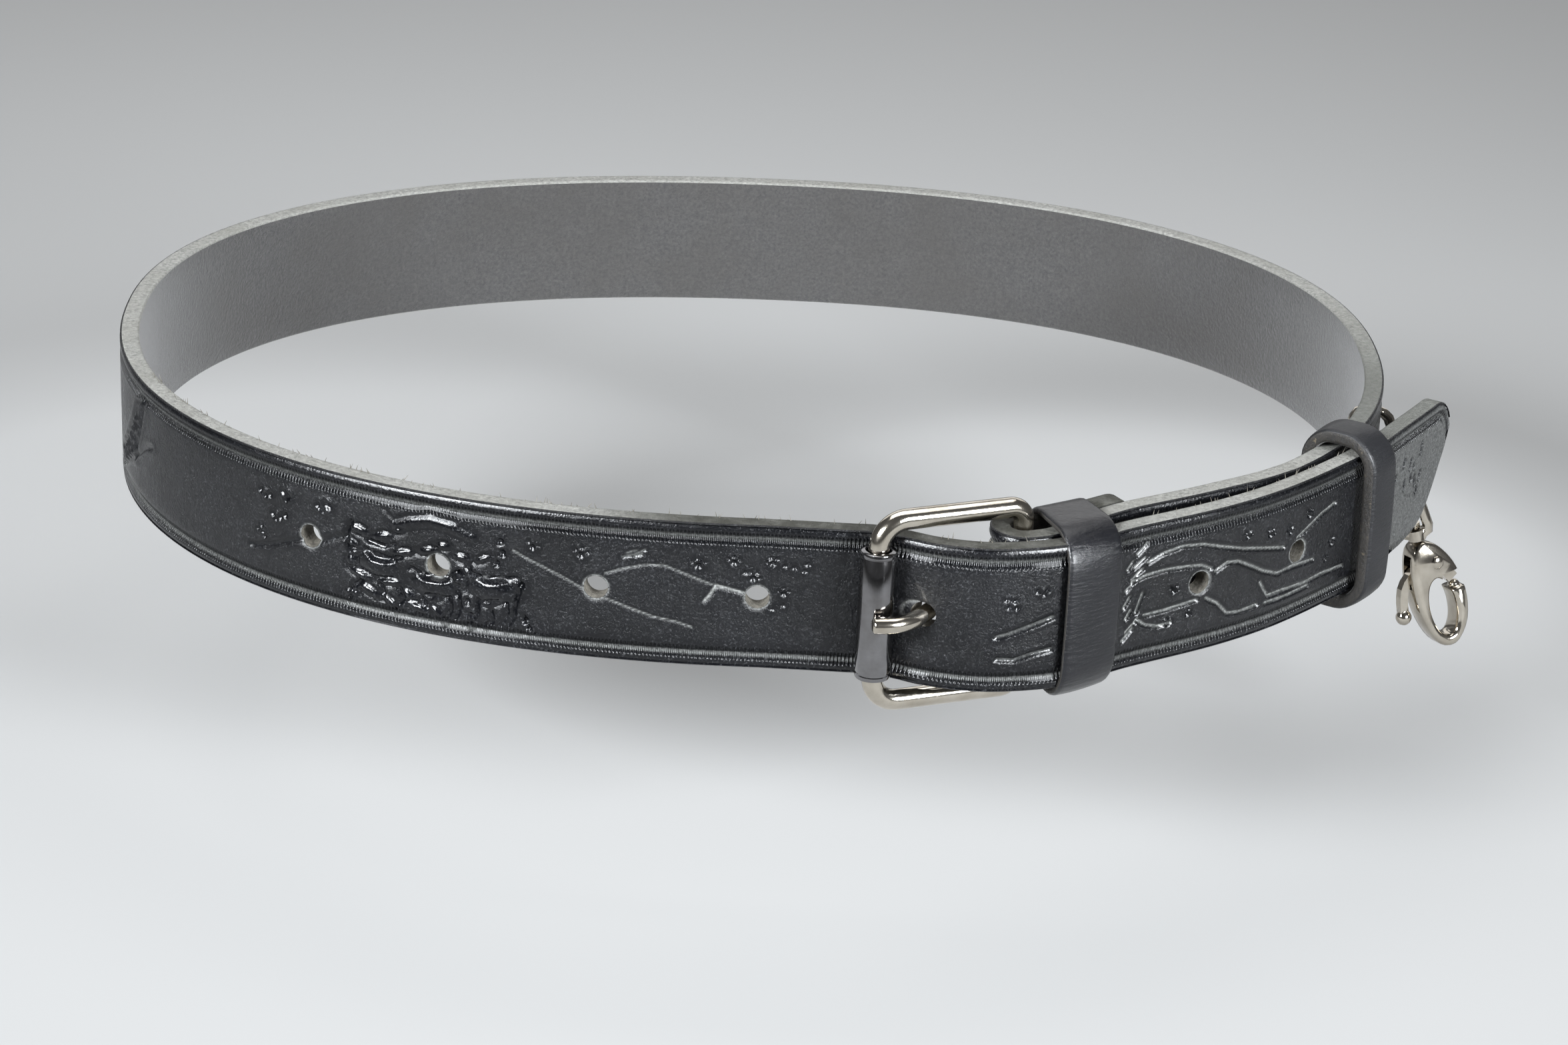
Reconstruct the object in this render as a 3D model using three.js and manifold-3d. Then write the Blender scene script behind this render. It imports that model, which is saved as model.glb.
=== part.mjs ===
import * as THREE from 'three';
import { mergeVertices } from 'three/addons/utils/BufferGeometryUtils.js';
import Module from 'manifold-3d';

const wasm = await Module();
wasm.setup();

// Tooled leather belt, fastened as round a waist. Millimetres, +Z up, buckle towards -Y.
// Places are given as an arc along the waist line from its frontmost point (+ towards +X),
// a lift outwards from the single strap's outer face, and a height above mid-height.

// The waist line: the single strap's outer face seen from above
const WAIST_LEFT = 117.5;
const WAIST_RIGHT = 113;
const WAIST_FRONT = 94.5;
const WAIST_BACK = 88;
const WAIST_SQUARENESS = 2.2;
const WAIST_TURN = THREE.MathUtils.degToRad(1.4);
const WAIST_STEPS = 1440;

// The strap
const STRAP_WIDTH = 25.4;
const STRAP_THICK = 3.5;
const EDGE_CHAMFER = 0.5;
const LAYER_GAP = 0.3;
const HOLE_DIAMETER = 4;
const HOLE_SIDES = 12;
const STRAP_HOLES = [-73, -48.5, -21.5, 5];
const TAIL_HOLES = [56, 79, 101.5];

// The buckle: a wire frame with a roller, carried by its heel bar
const WIRE = 3.5;
const FRAME_HEIGHT = 35.6;
const FRAME_CORNER = 4.6;
const FRAME_HEEL_CORNER = 2.6;
const ROLLER_ARC = 23.7;
const ROLLER_LIFT = 5.2;
const ROLLER_DIAMETER = 6;
const ROLLER_LENGTH = 22.6;
const ROLLER_RING = 0.7;
const HEEL_ARC = 48.2;
const HEEL_LIFT = 0.5;
const TONGUE_WIRE = 2.8;
const TONGUE_LOOP_WIRE = 2.2;
const TONGUE_SLOT = 3.6;

// The strap's fold round the heel bar
const FOLD_RADIUS = WIRE / 2 + LAYER_GAP + STRAP_THICK / 2;
const TURN_BACK_END = 71;

// Lift of each layer's outer face: the tail rises over the heel bar and settles on the inner layer
const TAIL_LIFTS = [
  { arc: 6, lift: 0 },
  { arc: 14, lift: 0.5 },
  { arc: 20, lift: 1.1 },
  { arc: 24, lift: 1.6 },
  { arc: 28, lift: 3.6 },
  { arc: 33, lift: 6.8 },
  { arc: 40, lift: 9.5 },
  { arc: 46, lift: 10.2 },
  { arc: 52, lift: 10.0 },
  { arc: 58, lift: 8.3 },
  { arc: 65, lift: 6.3 },
  { arc: 73, lift: 5.3 },
  { arc: 84, lift: 4.8 },
  { arc: 95, lift: 4.5 },
  { arc: 104, lift: 4.3 },
  { arc: 112, lift: 4.5 },
  { arc: 120, lift: 5.2 },
  { arc: 128, lift: 6.0 },
  { arc: 134, lift: 6.2 },
];
const INNER_LIFTS = [
  { arc: 48.2, lift: 6.1 },
  { arc: 52, lift: 5.6 },
  { arc: 57, lift: 3.3 },
  { arc: 63, lift: 0.4 },
  { arc: 69, lift: -1.1 },
  { arc: 75, lift: -1.6 },
  { arc: 84, lift: -1.6 },
  { arc: 91, lift: -1.3 },
  { arc: 98, lift: -0.6 },
  { arc: 106, lift: 0 },
];
const TURN_BACK_LIFTS = [
  { arc: 48.2, lift: -1.6 },
  { arc: 53, lift: -1.8 },
  { arc: 58, lift: -2.6 },
  { arc: 63, lift: -4.0 },
  { arc: 68, lift: -5.1 },
  { arc: 71, lift: -5.4 },
];

// The free end leaves the waist line straight and ends in a blunt point
const TAIL_LEAVES = 128;
const TAIL_FREE = 27;
const TIP_OUTLINE = [
  { back: 23, top: 12.7, bottom: -11.2 },
  { back: 17.3, top: 12.7, bottom: -10.7 },
  { back: 13.2, top: 12.7, bottom: -10 },
  { back: 10.3, top: 12.7, bottom: -9 },
  { back: 8, top: 12.7, bottom: -7.4 },
  { back: 5.3, top: 12.7, bottom: -3.9 },
  { back: 3.1, top: 12, bottom: -0.2 },
  { back: 1.2, top: 10.4, bottom: 3 },
  { back: 0, top: 8.6, bottom: 6.2 },
];

// Steps between the strap's sections
const TURN_BACK_ROUND = 3;
const END_STEP = 1;
const LAYER_STEP = 3;
const FOLD_STEPS = 10;
const SINGLE_STEPS = 66;
const TAIL_STEP = 2.6;
const SETTLED_STEP = 5;
const SETTLED_ARC = 84;

// The two keepers, leather bands round the layers
const KEEPER_INNER_CORNER = 0.8;
const KEEPER_FIXED = { from: 51.8, to: 61.8, wall: 1.3 };
const KEEPER_FREE = { from: 116.8, to: 124, wall: 2.2 };

// The swivel snap hook, hung through a hole in the strap
const HOOK_ARC = 155;
const HOOK_HOLE_HEIGHT = 7.6;
const HOOK_HOLE_DIAMETER = 4;
const EYE_WIRE = 2;
const HOOK_LEAN = THREE.MathUtils.degToRad(17);
const HOOK_TURN = THREE.MathUtils.degToRad(25);
const BOSS_LIFT = 9.1;
const BOSS_HEIGHT = -17.4;
const BOSS_RADIUS = 1.7;
const BOSS_LENGTH = 2;
const PIN_RADIUS = 0.6;
const PIN_ROOT = 1.6;
const PIN_HEAD_RADIUS = 1.05;
const PIN_HEAD_LENGTH = 1;
const RUN_GAP = 0.3;
const HOOK_THICK = 4.6;
const HOOK_EDGE = 0.7;
const SLOT_WIDTH = 2.3;
const LEVER_THICK = 1.6;
const THUMB_BAR = 1.6;
const GATE_BAR = 2.2;
const HUB_WALL = 0.9;
const RIVET = { across: 1.8, down: 4.9, radius: 0.8 };
const RIVET_HEAD_RADIUS = 1.3;
const RIVET_HEAD_HEIGHT = 0.6;
const SLOT = { reach: 9, top: 2.5, bottom: 8.8 };
const MOUTH = { left: 2.4, top: 7.6 };
const HOOK_TIP = { across: 5.3, down: 11.4, radius: 1.2 };
const THUMB_BALL = { across: -6.1, down: 13.6, radius: 1.5 };

const LEATHER = new THREE.MeshStandardMaterial({ color: 0x17181b, roughness: 0.42, metalness: 0 });
const KEEPER_LEATHER = new THREE.MeshStandardMaterial({ color: 0x141518, roughness: 0.3, metalness: 0 });
const NICKEL = new THREE.MeshStandardMaterial({ color: 0xc9c5bd, roughness: 0.18, metalness: 1 });

// The waist line as points at even angles, with the arc to each
function waistTable() {
  const rows = [];
  for (let i = 0; i <= WAIST_STEPS; i += 1) {
    const turn = -Math.PI + (2 * Math.PI * i) / WAIST_STEPS;
    const c = Math.cos(turn);
    const s = Math.sin(turn);
    const x = Math.sign(c) * (c < 0 ? WAIST_LEFT : WAIST_RIGHT) * Math.abs(c) ** (2 / WAIST_SQUARENESS);
    const y = Math.sign(s) * (s < 0 ? WAIST_FRONT : WAIST_BACK) * Math.abs(s) ** (2 / WAIST_SQUARENESS);
    rows.push({ point: new THREE.Vector2(x, y).rotateAround(new THREE.Vector2(), WAIST_TURN), arc: 0 });
  }
  for (let i = 1; i < rows.length; i += 1) {
    rows[i].arc = rows[i - 1].arc + rows[i].point.distanceTo(rows[i - 1].point);
  }
  return rows;
}

const WAIST = waistTable();
const LOOP = WAIST[WAIST.length - 1].arc;
const FRONT_ARC = WAIST.reduce((low, row) => (row.point.y < low.point.y ? row : low)).arc;

function waistPoint(arc) {
  const along = THREE.MathUtils.euclideanModulo(arc + FRONT_ARC, LOOP);
  let low = 0;
  let high = WAIST.length - 1;
  while (high - low > 1) {
    const middle = (low + high) >> 1;
    if (WAIST[middle].arc > along) high = middle;
    else low = middle;
  }
  const share = (along - WAIST[low].arc) / (WAIST[high].arc - WAIST[low].arc);
  return WAIST[low].point.clone().lerp(WAIST[high].point, share);
}

// A point lifted outwards from the waist line
function onWaist(arc, lift) {
  const reach = 0.5;
  const along = waistPoint(arc + reach).sub(waistPoint(arc - reach)).normalize();
  const outward = new THREE.Vector2(along.y, -along.x);
  return waistPoint(arc).addScaledVector(outward, lift);
}

function placed(arc, lift, height) {
  const spot = onWaist(arc, lift);
  return new THREE.Vector3(spot.x, spot.y, height);
}

// A smooth value from a table of rows, level before the first row and after the last
function fromTable(rows, key, value, at) {
  if (at <= rows[0][key]) return rows[0][value];
  for (let i = 1; i < rows.length; i += 1) {
    if (at > rows[i][key]) continue;
    const before = rows[Math.max(i - 2, 0)];
    const a = rows[i - 1];
    const b = rows[i];
    const after = rows[Math.min(i + 1, rows.length - 1)];
    const span = b[key] - a[key];
    const t = (at - a[key]) / span;
    const slopeA = (b[value] - before[value]) / (b[key] - before[key]);
    const slopeB = (after[value] - a[value]) / (after[key] - a[key]);
    const t2 = t * t;
    const t3 = t2 * t;
    return (2 * t3 - 3 * t2 + 1) * a[value] + (t3 - 2 * t2 + t) * span * slopeA
      + (3 * t2 - 2 * t3) * b[value] + (t3 - t2) * span * slopeB;
  }
  return rows[rows.length - 1][value];
}

const tailLift = (arc) => fromTable(TAIL_LIFTS, 'arc', 'lift', arc);
const innerLift = (arc) => fromTable(INNER_LIFTS, 'arc', 'lift', arc);
const turnBackLift = (arc) => fromTable(TURN_BACK_LIFTS, 'arc', 'lift', arc);

// The tail's outer face, straight beyond the place where it leaves the waist line
function tailPoint(arc, depth = 0) {
  if (arc <= TAIL_LEAVES) return onWaist(arc, tailLift(arc) - depth);
  const step = 2;
  const start = onWaist(TAIL_LEAVES, tailLift(TAIL_LEAVES));
  const along = start.clone().sub(onWaist(TAIL_LEAVES - step, tailLift(TAIL_LEAVES - step))).normalize();
  const outward = new THREE.Vector2(along.y, -along.x);
  return start.addScaledVector(along, arc - TAIL_LEAVES).addScaledVector(outward, -depth);
}

// A solid from rings of points, closed on itself or with flat ends
function loft(rings, closed) {
  const count = rings[0].length;
  const positions = rings.flat().flatMap((p) => [p.x, p.y, p.z]);
  const faces = [];
  const spans = closed ? rings.length : rings.length - 1;
  for (let i = 0; i < spans; i += 1) {
    const here = i * count;
    const next = ((i + 1) % rings.length) * count;
    for (let j = 0; j < count; j += 1) {
      const k = (j + 1) % count;
      faces.push(here + j, next + j, next + k, here + j, next + k, here + k);
    }
  }
  if (!closed) {
    const last = (rings.length - 1) * count;
    for (let j = 1; j < count - 1; j += 1) {
      faces.push(0, j, j + 1, last, last + j + 1, last + j);
    }
  }
  const geometry = new THREE.BufferGeometry();
  geometry.setAttribute('position', new THREE.Float32BufferAttribute(positions, 3));
  geometry.setIndex(faces);
  return facingOut(geometry);
}

function signedVolume(geometry) {
  const position = geometry.attributes.position;
  const index = geometry.index;
  const corner = (n) => new THREE.Vector3().fromBufferAttribute(position, index.getX(n));
  let volume = 0;
  for (let i = 0; i < index.count; i += 3) {
    volume += corner(i).dot(corner(i + 1).cross(corner(i + 2))) / 6;
  }
  return volume;
}

function facingOut(geometry) {
  if (signedVolume(geometry) > 0) return geometry;
  const index = geometry.index;
  for (let i = 0; i < index.count; i += 3) {
    const second = index.getX(i + 1);
    index.setX(i + 1, index.getX(i + 2));
    index.setX(i + 2, second);
  }
  return geometry;
}

function toManifold(geometry) {
  const bare = geometry.clone();
  bare.deleteAttribute('normal');
  bare.deleteAttribute('uv');
  const merged = facingOut(mergeVertices(bare, 1e-4));
  return new wasm.Manifold(new wasm.Mesh({
    numProp: 3,
    vertProperties: new Float32Array(merged.attributes.position.array),
    triVerts: new Uint32Array(merged.index.array),
  }));
}

function fromManifold(solid) {
  const mesh = solid.getMesh();
  const geometry = new THREE.BufferGeometry();
  geometry.setAttribute('position', new THREE.BufferAttribute(mesh.vertProperties, 3));
  geometry.setIndex(new THREE.BufferAttribute(mesh.triVerts, 1));
  return geometry;
}

function joined(first, ...others) {
  return fromManifold(others.reduce((solid, other) => solid.add(toManifold(other)), toManifold(first)));
}

function cutBy(first, ...tools) {
  return fromManifold(tools.reduce((solid, tool) => solid.subtract(toManifold(tool)), toManifold(first)));
}

// A cylinder between two points
function rod(from, to, radius, sides = 12) {
  const length = from.distanceTo(to);
  const geometry = new THREE.CylinderGeometry(radius, radius, length, sides);
  const upright = new THREE.Vector3(0, 1, 0);
  const along = to.clone().sub(from).normalize();
  geometry.applyQuaternion(new THREE.Quaternion().setFromUnitVectors(upright, along));
  const middle = from.clone().add(to).multiplyScalar(0.5);
  return geometry.translate(middle.x, middle.y, middle.z);
}

const HALF_THICK = STRAP_THICK / 2;
const HALF_WIDTH = STRAP_WIDTH / 2;

// A place on the strap's mid-line, with the heights of its two edges there
function station(spot, top = HALF_WIDTH, bottom = -HALF_WIDTH) {
  return { spot, top, bottom };
}

// The turn-back, from its rounded end to the heel bar
function turnBackStations() {
  const stations = [];
  let arc = TURN_BACK_END;
  while (arc > HEEL_ARC) {
    const toEnd = TURN_BACK_END - arc;
    const inRound = 1 - Math.min(toEnd / TURN_BACK_ROUND, 1);
    const edge = HALF_WIDTH - TURN_BACK_ROUND * (1 - Math.sqrt(1 - inRound ** 2));
    stations.push(station(onWaist(arc, turnBackLift(arc) - HALF_THICK), edge, -edge));
    arc -= toEnd < TURN_BACK_ROUND ? END_STEP : LAYER_STEP;
  }
  return stations;
}

// The fold, half a turn round the heel bar
function foldStations() {
  return Array.from({ length: FOLD_STEPS + 1 }, (_, i) => {
    const turn = -Math.PI / 2 - (Math.PI * i) / FOLD_STEPS;
    const arc = HEEL_ARC + FOLD_RADIUS * Math.cos(turn);
    return station(onWaist(arc, HEEL_LIFT + FOLD_RADIUS * Math.sin(turn)));
  });
}

// The inner layer and then the single strap, right round to the front
function loopStations() {
  const stations = [];
  const settled = INNER_LIFTS[INNER_LIFTS.length - 1].arc;
  for (let arc = HEEL_ARC + LAYER_STEP; arc < settled; arc += LAYER_STEP) {
    stations.push(station(onWaist(arc, innerLift(arc) - HALF_THICK)));
  }
  const span = LOOP + TAIL_LIFTS[0].arc - settled;
  for (let i = 0; i < SINGLE_STEPS; i += 1) {
    stations.push(station(onWaist(settled + (span * i) / SINGLE_STEPS, -HALF_THICK)));
  }
  return stations;
}

// The tail over the buckle, its free stretch and its pointed end
function tailStations() {
  const stations = [];
  for (let arc = TAIL_LIFTS[0].arc; arc < TAIL_LEAVES; arc += arc < SETTLED_ARC ? TAIL_STEP : SETTLED_STEP) {
    stations.push(station(tailPoint(arc, HALF_THICK)));
  }
  stations.push(station(tailPoint(TAIL_LEAVES, HALF_THICK)));
  const end = TAIL_LEAVES + TAIL_FREE;
  for (const row of TIP_OUTLINE) {
    stations.push(station(tailPoint(end - row.back, HALF_THICK), row.top, row.bottom));
  }
  return stations;
}

// The strap's section at a station, with its long edges chamfered
function strapSection(here, before, after) {
  const along = after.spot.clone().sub(before.spot).normalize();
  const outward = new THREE.Vector2(along.y, -along.x);
  const half = HALF_THICK;
  const near = half - EDGE_CHAMFER;
  const { spot, top, bottom } = here;
  const corners = [
    [near, bottom], [half, bottom + EDGE_CHAMFER], [half, top - EDGE_CHAMFER], [near, top],
    [-near, top], [-half, top - EDGE_CHAMFER], [-half, bottom + EDGE_CHAMFER], [-near, bottom],
  ];
  return corners.map(([depth, height]) => {
    const corner = spot.clone().addScaledVector(outward, depth);
    return new THREE.Vector3(corner.x, corner.y, height);
  });
}

function punch(arc, height, diameter, pointAt) {
  const clearance = LAYER_GAP / 2;
  const inner = pointAt(arc, STRAP_THICK + clearance);
  const outer = pointAt(arc, -clearance);
  const from = new THREE.Vector3(inner.x, inner.y, height);
  const to = new THREE.Vector3(outer.x, outer.y, height);
  return rod(from, to, diameter / 2, HOLE_SIDES);
}

// The slot that lets the tongue round the heel bar, through the fold and the turn-back
function tongueSlot() {
  const left = HEEL_ARC - FOLD_RADIUS - STRAP_THICK;
  const right = HEEL_ARC + WIRE / 2 + TONGUE_WIRE + 2 * RUN_GAP;
  const outline = (arc) => [innerLift(arc) + LAYER_GAP / 3, HEEL_LIFT - FOLD_RADIUS - STRAP_THICK];
  const steps = 5;
  const rings = [];
  for (let i = 0; i <= steps; i += 1) {
    const arc = left + ((right - left) * i) / steps;
    const [high, low] = outline(arc);
    rings.push([[high, -1], [high, 1], [low, 1], [low, -1]].map(
      ([lift, side]) => placed(arc, lift, (side * TONGUE_SLOT) / 2),
    ));
  }
  return loft(rings, false);
}

// The tongue's route: round the heel bar, under the tail, out through its hole and onto the roller
const TONGUE_ROUTE = [
  { arc: 44.8, lift: 0.4 },
  { arc: 39, lift: 0.6 },
  { arc: 34.6, lift: 2.0 },
  { arc: 31.6, lift: 5.4 },
  { arc: 29.2, lift: 8.2 },
  { arc: 26.2, lift: 9.85 },
  { arc: 22.6, lift: 10.1 },
];

function tongueHole() {
  const below = TONGUE_ROUTE[2];
  const above = TONGUE_ROUTE[4];
  return rod(placed(below.arc, below.lift, 0), placed(above.arc, above.lift, 0), HOLE_DIAMETER / 2 + 0.15, HOLE_SIDES);
}

function strapGeometry() {
  const stations = [...turnBackStations(), ...foldStations(), ...loopStations(), ...tailStations()];
  const rings = stations.map((here, i) => strapSection(
    here, stations[Math.max(i - 1, 0)], stations[Math.min(i + 1, stations.length - 1)],
  ));
  const single = (arc, depth) => onWaist(arc, -depth);
  return cutBy(
    loft(rings, false),
    ...STRAP_HOLES.map((arc) => punch(arc, 0, HOLE_DIAMETER, single)),
    ...TAIL_HOLES.map((arc) => punch(arc, 0, HOLE_DIAMETER, tailPoint)),
    punch(HOOK_ARC, HOOK_HOLE_HEIGHT, HOOK_HOLE_DIAMETER, single),
    tongueSlot(),
    tongueHole(),
  );
}

// A keeper band round its layers between its two arcs
function keeperGeometry({ from, to, wall }, innerFace, outerFace) {
  const stations = 4;
  const sides = 6;
  const profile = (arc, grow) => {
    const high = outerFace(arc) + LAYER_GAP + grow;
    const low = innerFace(arc) - LAYER_GAP - grow;
    const wide = STRAP_WIDTH / 2 + LAYER_GAP + grow;
    const corner = KEEPER_INNER_CORNER + grow;
    const points = [];
    for (let quarter = 0; quarter < 4; quarter += 1) {
      const lift = (quarter === 0 || quarter === 3 ? high - corner : low + corner);
      const height = (quarter < 2 ? wide - corner : corner - wide);
      for (let i = 0; i <= sides; i += 1) {
        const turn = (quarter + i / sides) * (Math.PI / 2);
        points.push([lift + corner * Math.cos(turn), height + corner * Math.sin(turn)]);
      }
    }
    return points;
  };
  const arcs = Array.from({ length: stations }, (_, i) => from + ((to - from) * i) / (stations - 1));
  const outer = arcs.map((arc) => profile(arc, wall));
  const inner = arcs.map((arc) => profile(arc, 0));
  const rings = outer[0].map((_, j) => [
    ...arcs.map((arc, i) => placed(arc, ...outer[i][j])),
    ...arcs.map((arc, i) => placed(arc, ...inner[i][j])).reverse(),
  ]);
  return loft(rings, true);
}

const fixedInnerFace = (arc) => turnBackLift(arc) - STRAP_THICK;
const freeInnerFace = () => -STRAP_THICK;

// The buckle's own flat frame: x from the roller to the heel bar, y outwards, z up
function buckleBasis() {
  const front = onWaist(ROLLER_ARC, ROLLER_LIFT);
  const heel = onWaist(HEEL_ARC, HEEL_LIFT);
  const along = heel.clone().sub(front);
  const length = along.length();
  along.normalize();
  const matrix = new THREE.Matrix4().makeBasis(
    new THREE.Vector3(along.x, along.y, 0),
    new THREE.Vector3(-along.y, along.x, 0),
    new THREE.Vector3(0, 0, 1),
  );
  matrix.setPosition(front.x, front.y, 0);
  return { matrix, length };
}

// The frame's wire as a closed rounded rectangle
function frameGeometry({ length }) {
  const high = (FRAME_HEIGHT - WIRE) / 2;
  const corner = FRAME_CORNER;
  const heelCorner = FRAME_HEEL_CORNER;
  const flat = (x, z) => new THREE.Vector3(x, 0, z);
  const turn = (x, z, radius, start) => {
    const points = [];
    const steps = 5;
    for (let i = 0; i <= steps; i += 1) {
      const angle = start + (Math.PI / 2) * (i / steps);
      points.push(flat(x + radius * Math.cos(angle), z + radius * Math.sin(angle)));
    }
    return points;
  };
  const points = [
    ...turn(length - heelCorner, high - heelCorner, heelCorner, 0),
    ...turn(corner, high - corner, corner, Math.PI / 2),
    ...turn(corner, corner - high, corner, Math.PI),
    ...turn(length - heelCorner, heelCorner - high, heelCorner, 1.5 * Math.PI),
  ];
  return wireRing(points, WIRE / 2, 10, new THREE.Vector3(0, 1, 0));
}

// A closed wire through points that lie in one plane
function wireRing(points, radius, sides, planeNormal) {
  const rings = points.map((point, i) => {
    const before = points[(i + points.length - 1) % points.length];
    const after = points[(i + 1) % points.length];
    const along = after.clone().sub(before).normalize();
    const side = new THREE.Vector3().crossVectors(along, planeNormal).normalize();
    return Array.from({ length: sides }, (_, j) => {
      const turn = (2 * Math.PI * j) / sides;
      return point.clone()
        .addScaledVector(side, radius * Math.cos(turn))
        .addScaledVector(planeNormal, radius * Math.sin(turn));
    });
  });
  return loft(rings, true);
}

function rollerGeometry() {
  const inner = WIRE / 2 + RUN_GAP;
  const outer = ROLLER_DIAMETER / 2;
  const half = ROLLER_LENGTH / 2;
  const soft = 0.3;
  const profile = [
    [inner, -half], [outer - soft, -half], [outer, -half + soft], [outer, -half + ROLLER_RING],
    [outer - soft / 2, -half + ROLLER_RING + soft], [outer - soft / 2, half - ROLLER_RING - soft],
    [outer, half - ROLLER_RING], [outer, half - soft], [outer - soft, half], [inner, half], [inner, -half],
  ].map(([radius, height]) => new THREE.Vector2(radius, height));
  return new THREE.LatheGeometry(profile, 20).rotateX(Math.PI / 2);
}

// The tongue: a wire from its ring on the heel bar, bent through the tail and resting on the roller
function tongueGeometry() {
  const points = TONGUE_ROUTE.map((row) => placed(row.arc, row.lift, 0));
  const curve = new THREE.CatmullRomCurve3(points);
  const radius = TONGUE_WIRE / 2;
  const section = new THREE.Shape().absarc(0, 0, radius, 0, 2 * Math.PI);
  const shank = new THREE.ExtrudeGeometry(section, { steps: 22, curveSegments: 5, extrudePath: curve });
  const centre = placed(HEEL_ARC, HEEL_LIFT, 0);
  const loopRadius = TONGUE_LOOP_WIRE / 2;
  const ringRadius = WIRE / 2 + RUN_GAP + loopRadius;
  const ring = new THREE.TorusGeometry(ringRadius, loopRadius, 10, 20).translate(centre.x, centre.y, 0);
  return joined(ring, shank);
}

// The snap hook's own frame: across to the right, up along its pin, out through its face
function hookBasis() {
  const boss = placed(HOOK_ARC, BOSS_LIFT, BOSS_HEIGHT);
  const reach = 0.5;
  const ahead = onWaist(HOOK_ARC + reach, 0).sub(onWaist(HOOK_ARC - reach, 0)).normalize();
  const outward = new THREE.Vector3(ahead.y, -ahead.x, 0);
  const up = new THREE.Vector3(0, 0, Math.cos(HOOK_LEAN)).addScaledVector(outward, -Math.sin(HOOK_LEAN));
  const level = new THREE.Vector3(Math.sin(HOOK_TURN), -Math.cos(HOOK_TURN), 0);
  const face = level.addScaledVector(up, -level.dot(up)).normalize();
  const across = new THREE.Vector3().crossVectors(up, face);
  const matrix = new THREE.Matrix4().makeBasis(across, up, face);
  matrix.setPosition(boss);
  return { matrix, boss, up, ahead: new THREE.Vector3(ahead.x, ahead.y, 0) };
}

// The eye: a ring through the strap's hole and under its lower edge, with a boss for the pin
const EYE_ROUTE = [
  { lift: -1.75, height: 6.9 },
  { lift: -0.2, height: 6.85 },
  { lift: 1.3, height: 5.9 },
  { lift: 2.5, height: 3.2 },
  { lift: 6, height: -4.6 },
  { lift: 10, height: -12.8 },
  { lift: 10.8, height: -15.2 },
  { lift: 10.1, height: -16.1 },
  { lift: 7.4, height: -16.9 },
  { lift: 6.2, height: -16.7 },
  { lift: 1.5, height: -15.6 },
  { lift: -3.2, height: -14.4 },
  { lift: -4.9, height: -12 },
  { lift: -5, height: -4 },
  { lift: -4.9, height: 4 },
  { lift: -4.2, height: 6.4 },
];

function eyeGeometry({ boss, up, ahead }) {
  const curve = new THREE.CatmullRomCurve3(
    EYE_ROUTE.map(({ lift, height }) => placed(HOOK_ARC, lift, height)), true,
  );
  const ring = wireRing(curve.getSpacedPoints(54).slice(0, -1), EYE_WIRE / 2, 8, ahead);
  const bossSolid = rod(boss, boss.clone().addScaledVector(up, BOSS_LENGTH), BOSS_RADIUS, 16);
  const beyond = 1;
  const bore = rod(
    boss.clone().addScaledVector(up, -beyond),
    boss.clone().addScaledVector(up, BOSS_LENGTH + beyond),
    PIN_RADIUS + RUN_GAP,
    12,
  );
  return cutBy(joined(bossSolid, ring), bore);
}

// Outline of the hook's face, down from the boss, each curve end as across and down
const HOOK_OUTLINE = [
  { across: 0.4, down: 0.3 }, { across: 2.4, down: 1.5 }, { across: 4.3, down: 4 }, { across: 5.6, down: 6.8 },
  { across: 6.5, down: 10.6 }, { across: 6.6, down: 14.4 }, { across: 5.5, down: 18.6 }, { across: 2.7, down: 21.6 },
  { across: -0.2, down: 21.2 }, { across: -2.2, down: 18.2 }, { across: -3.5, down: 13.6 },
  { across: -3.8, down: 9 }, { across: -3.3, down: 4.6 }, { across: -2.2, down: 1.5 }, { across: -0.4, down: 0.3 },
];
const WINDOW = { across: 1.4, down: 13.9, halfWidth: 2.7, halfHeight: 5.8, lean: 0.06 };

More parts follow.
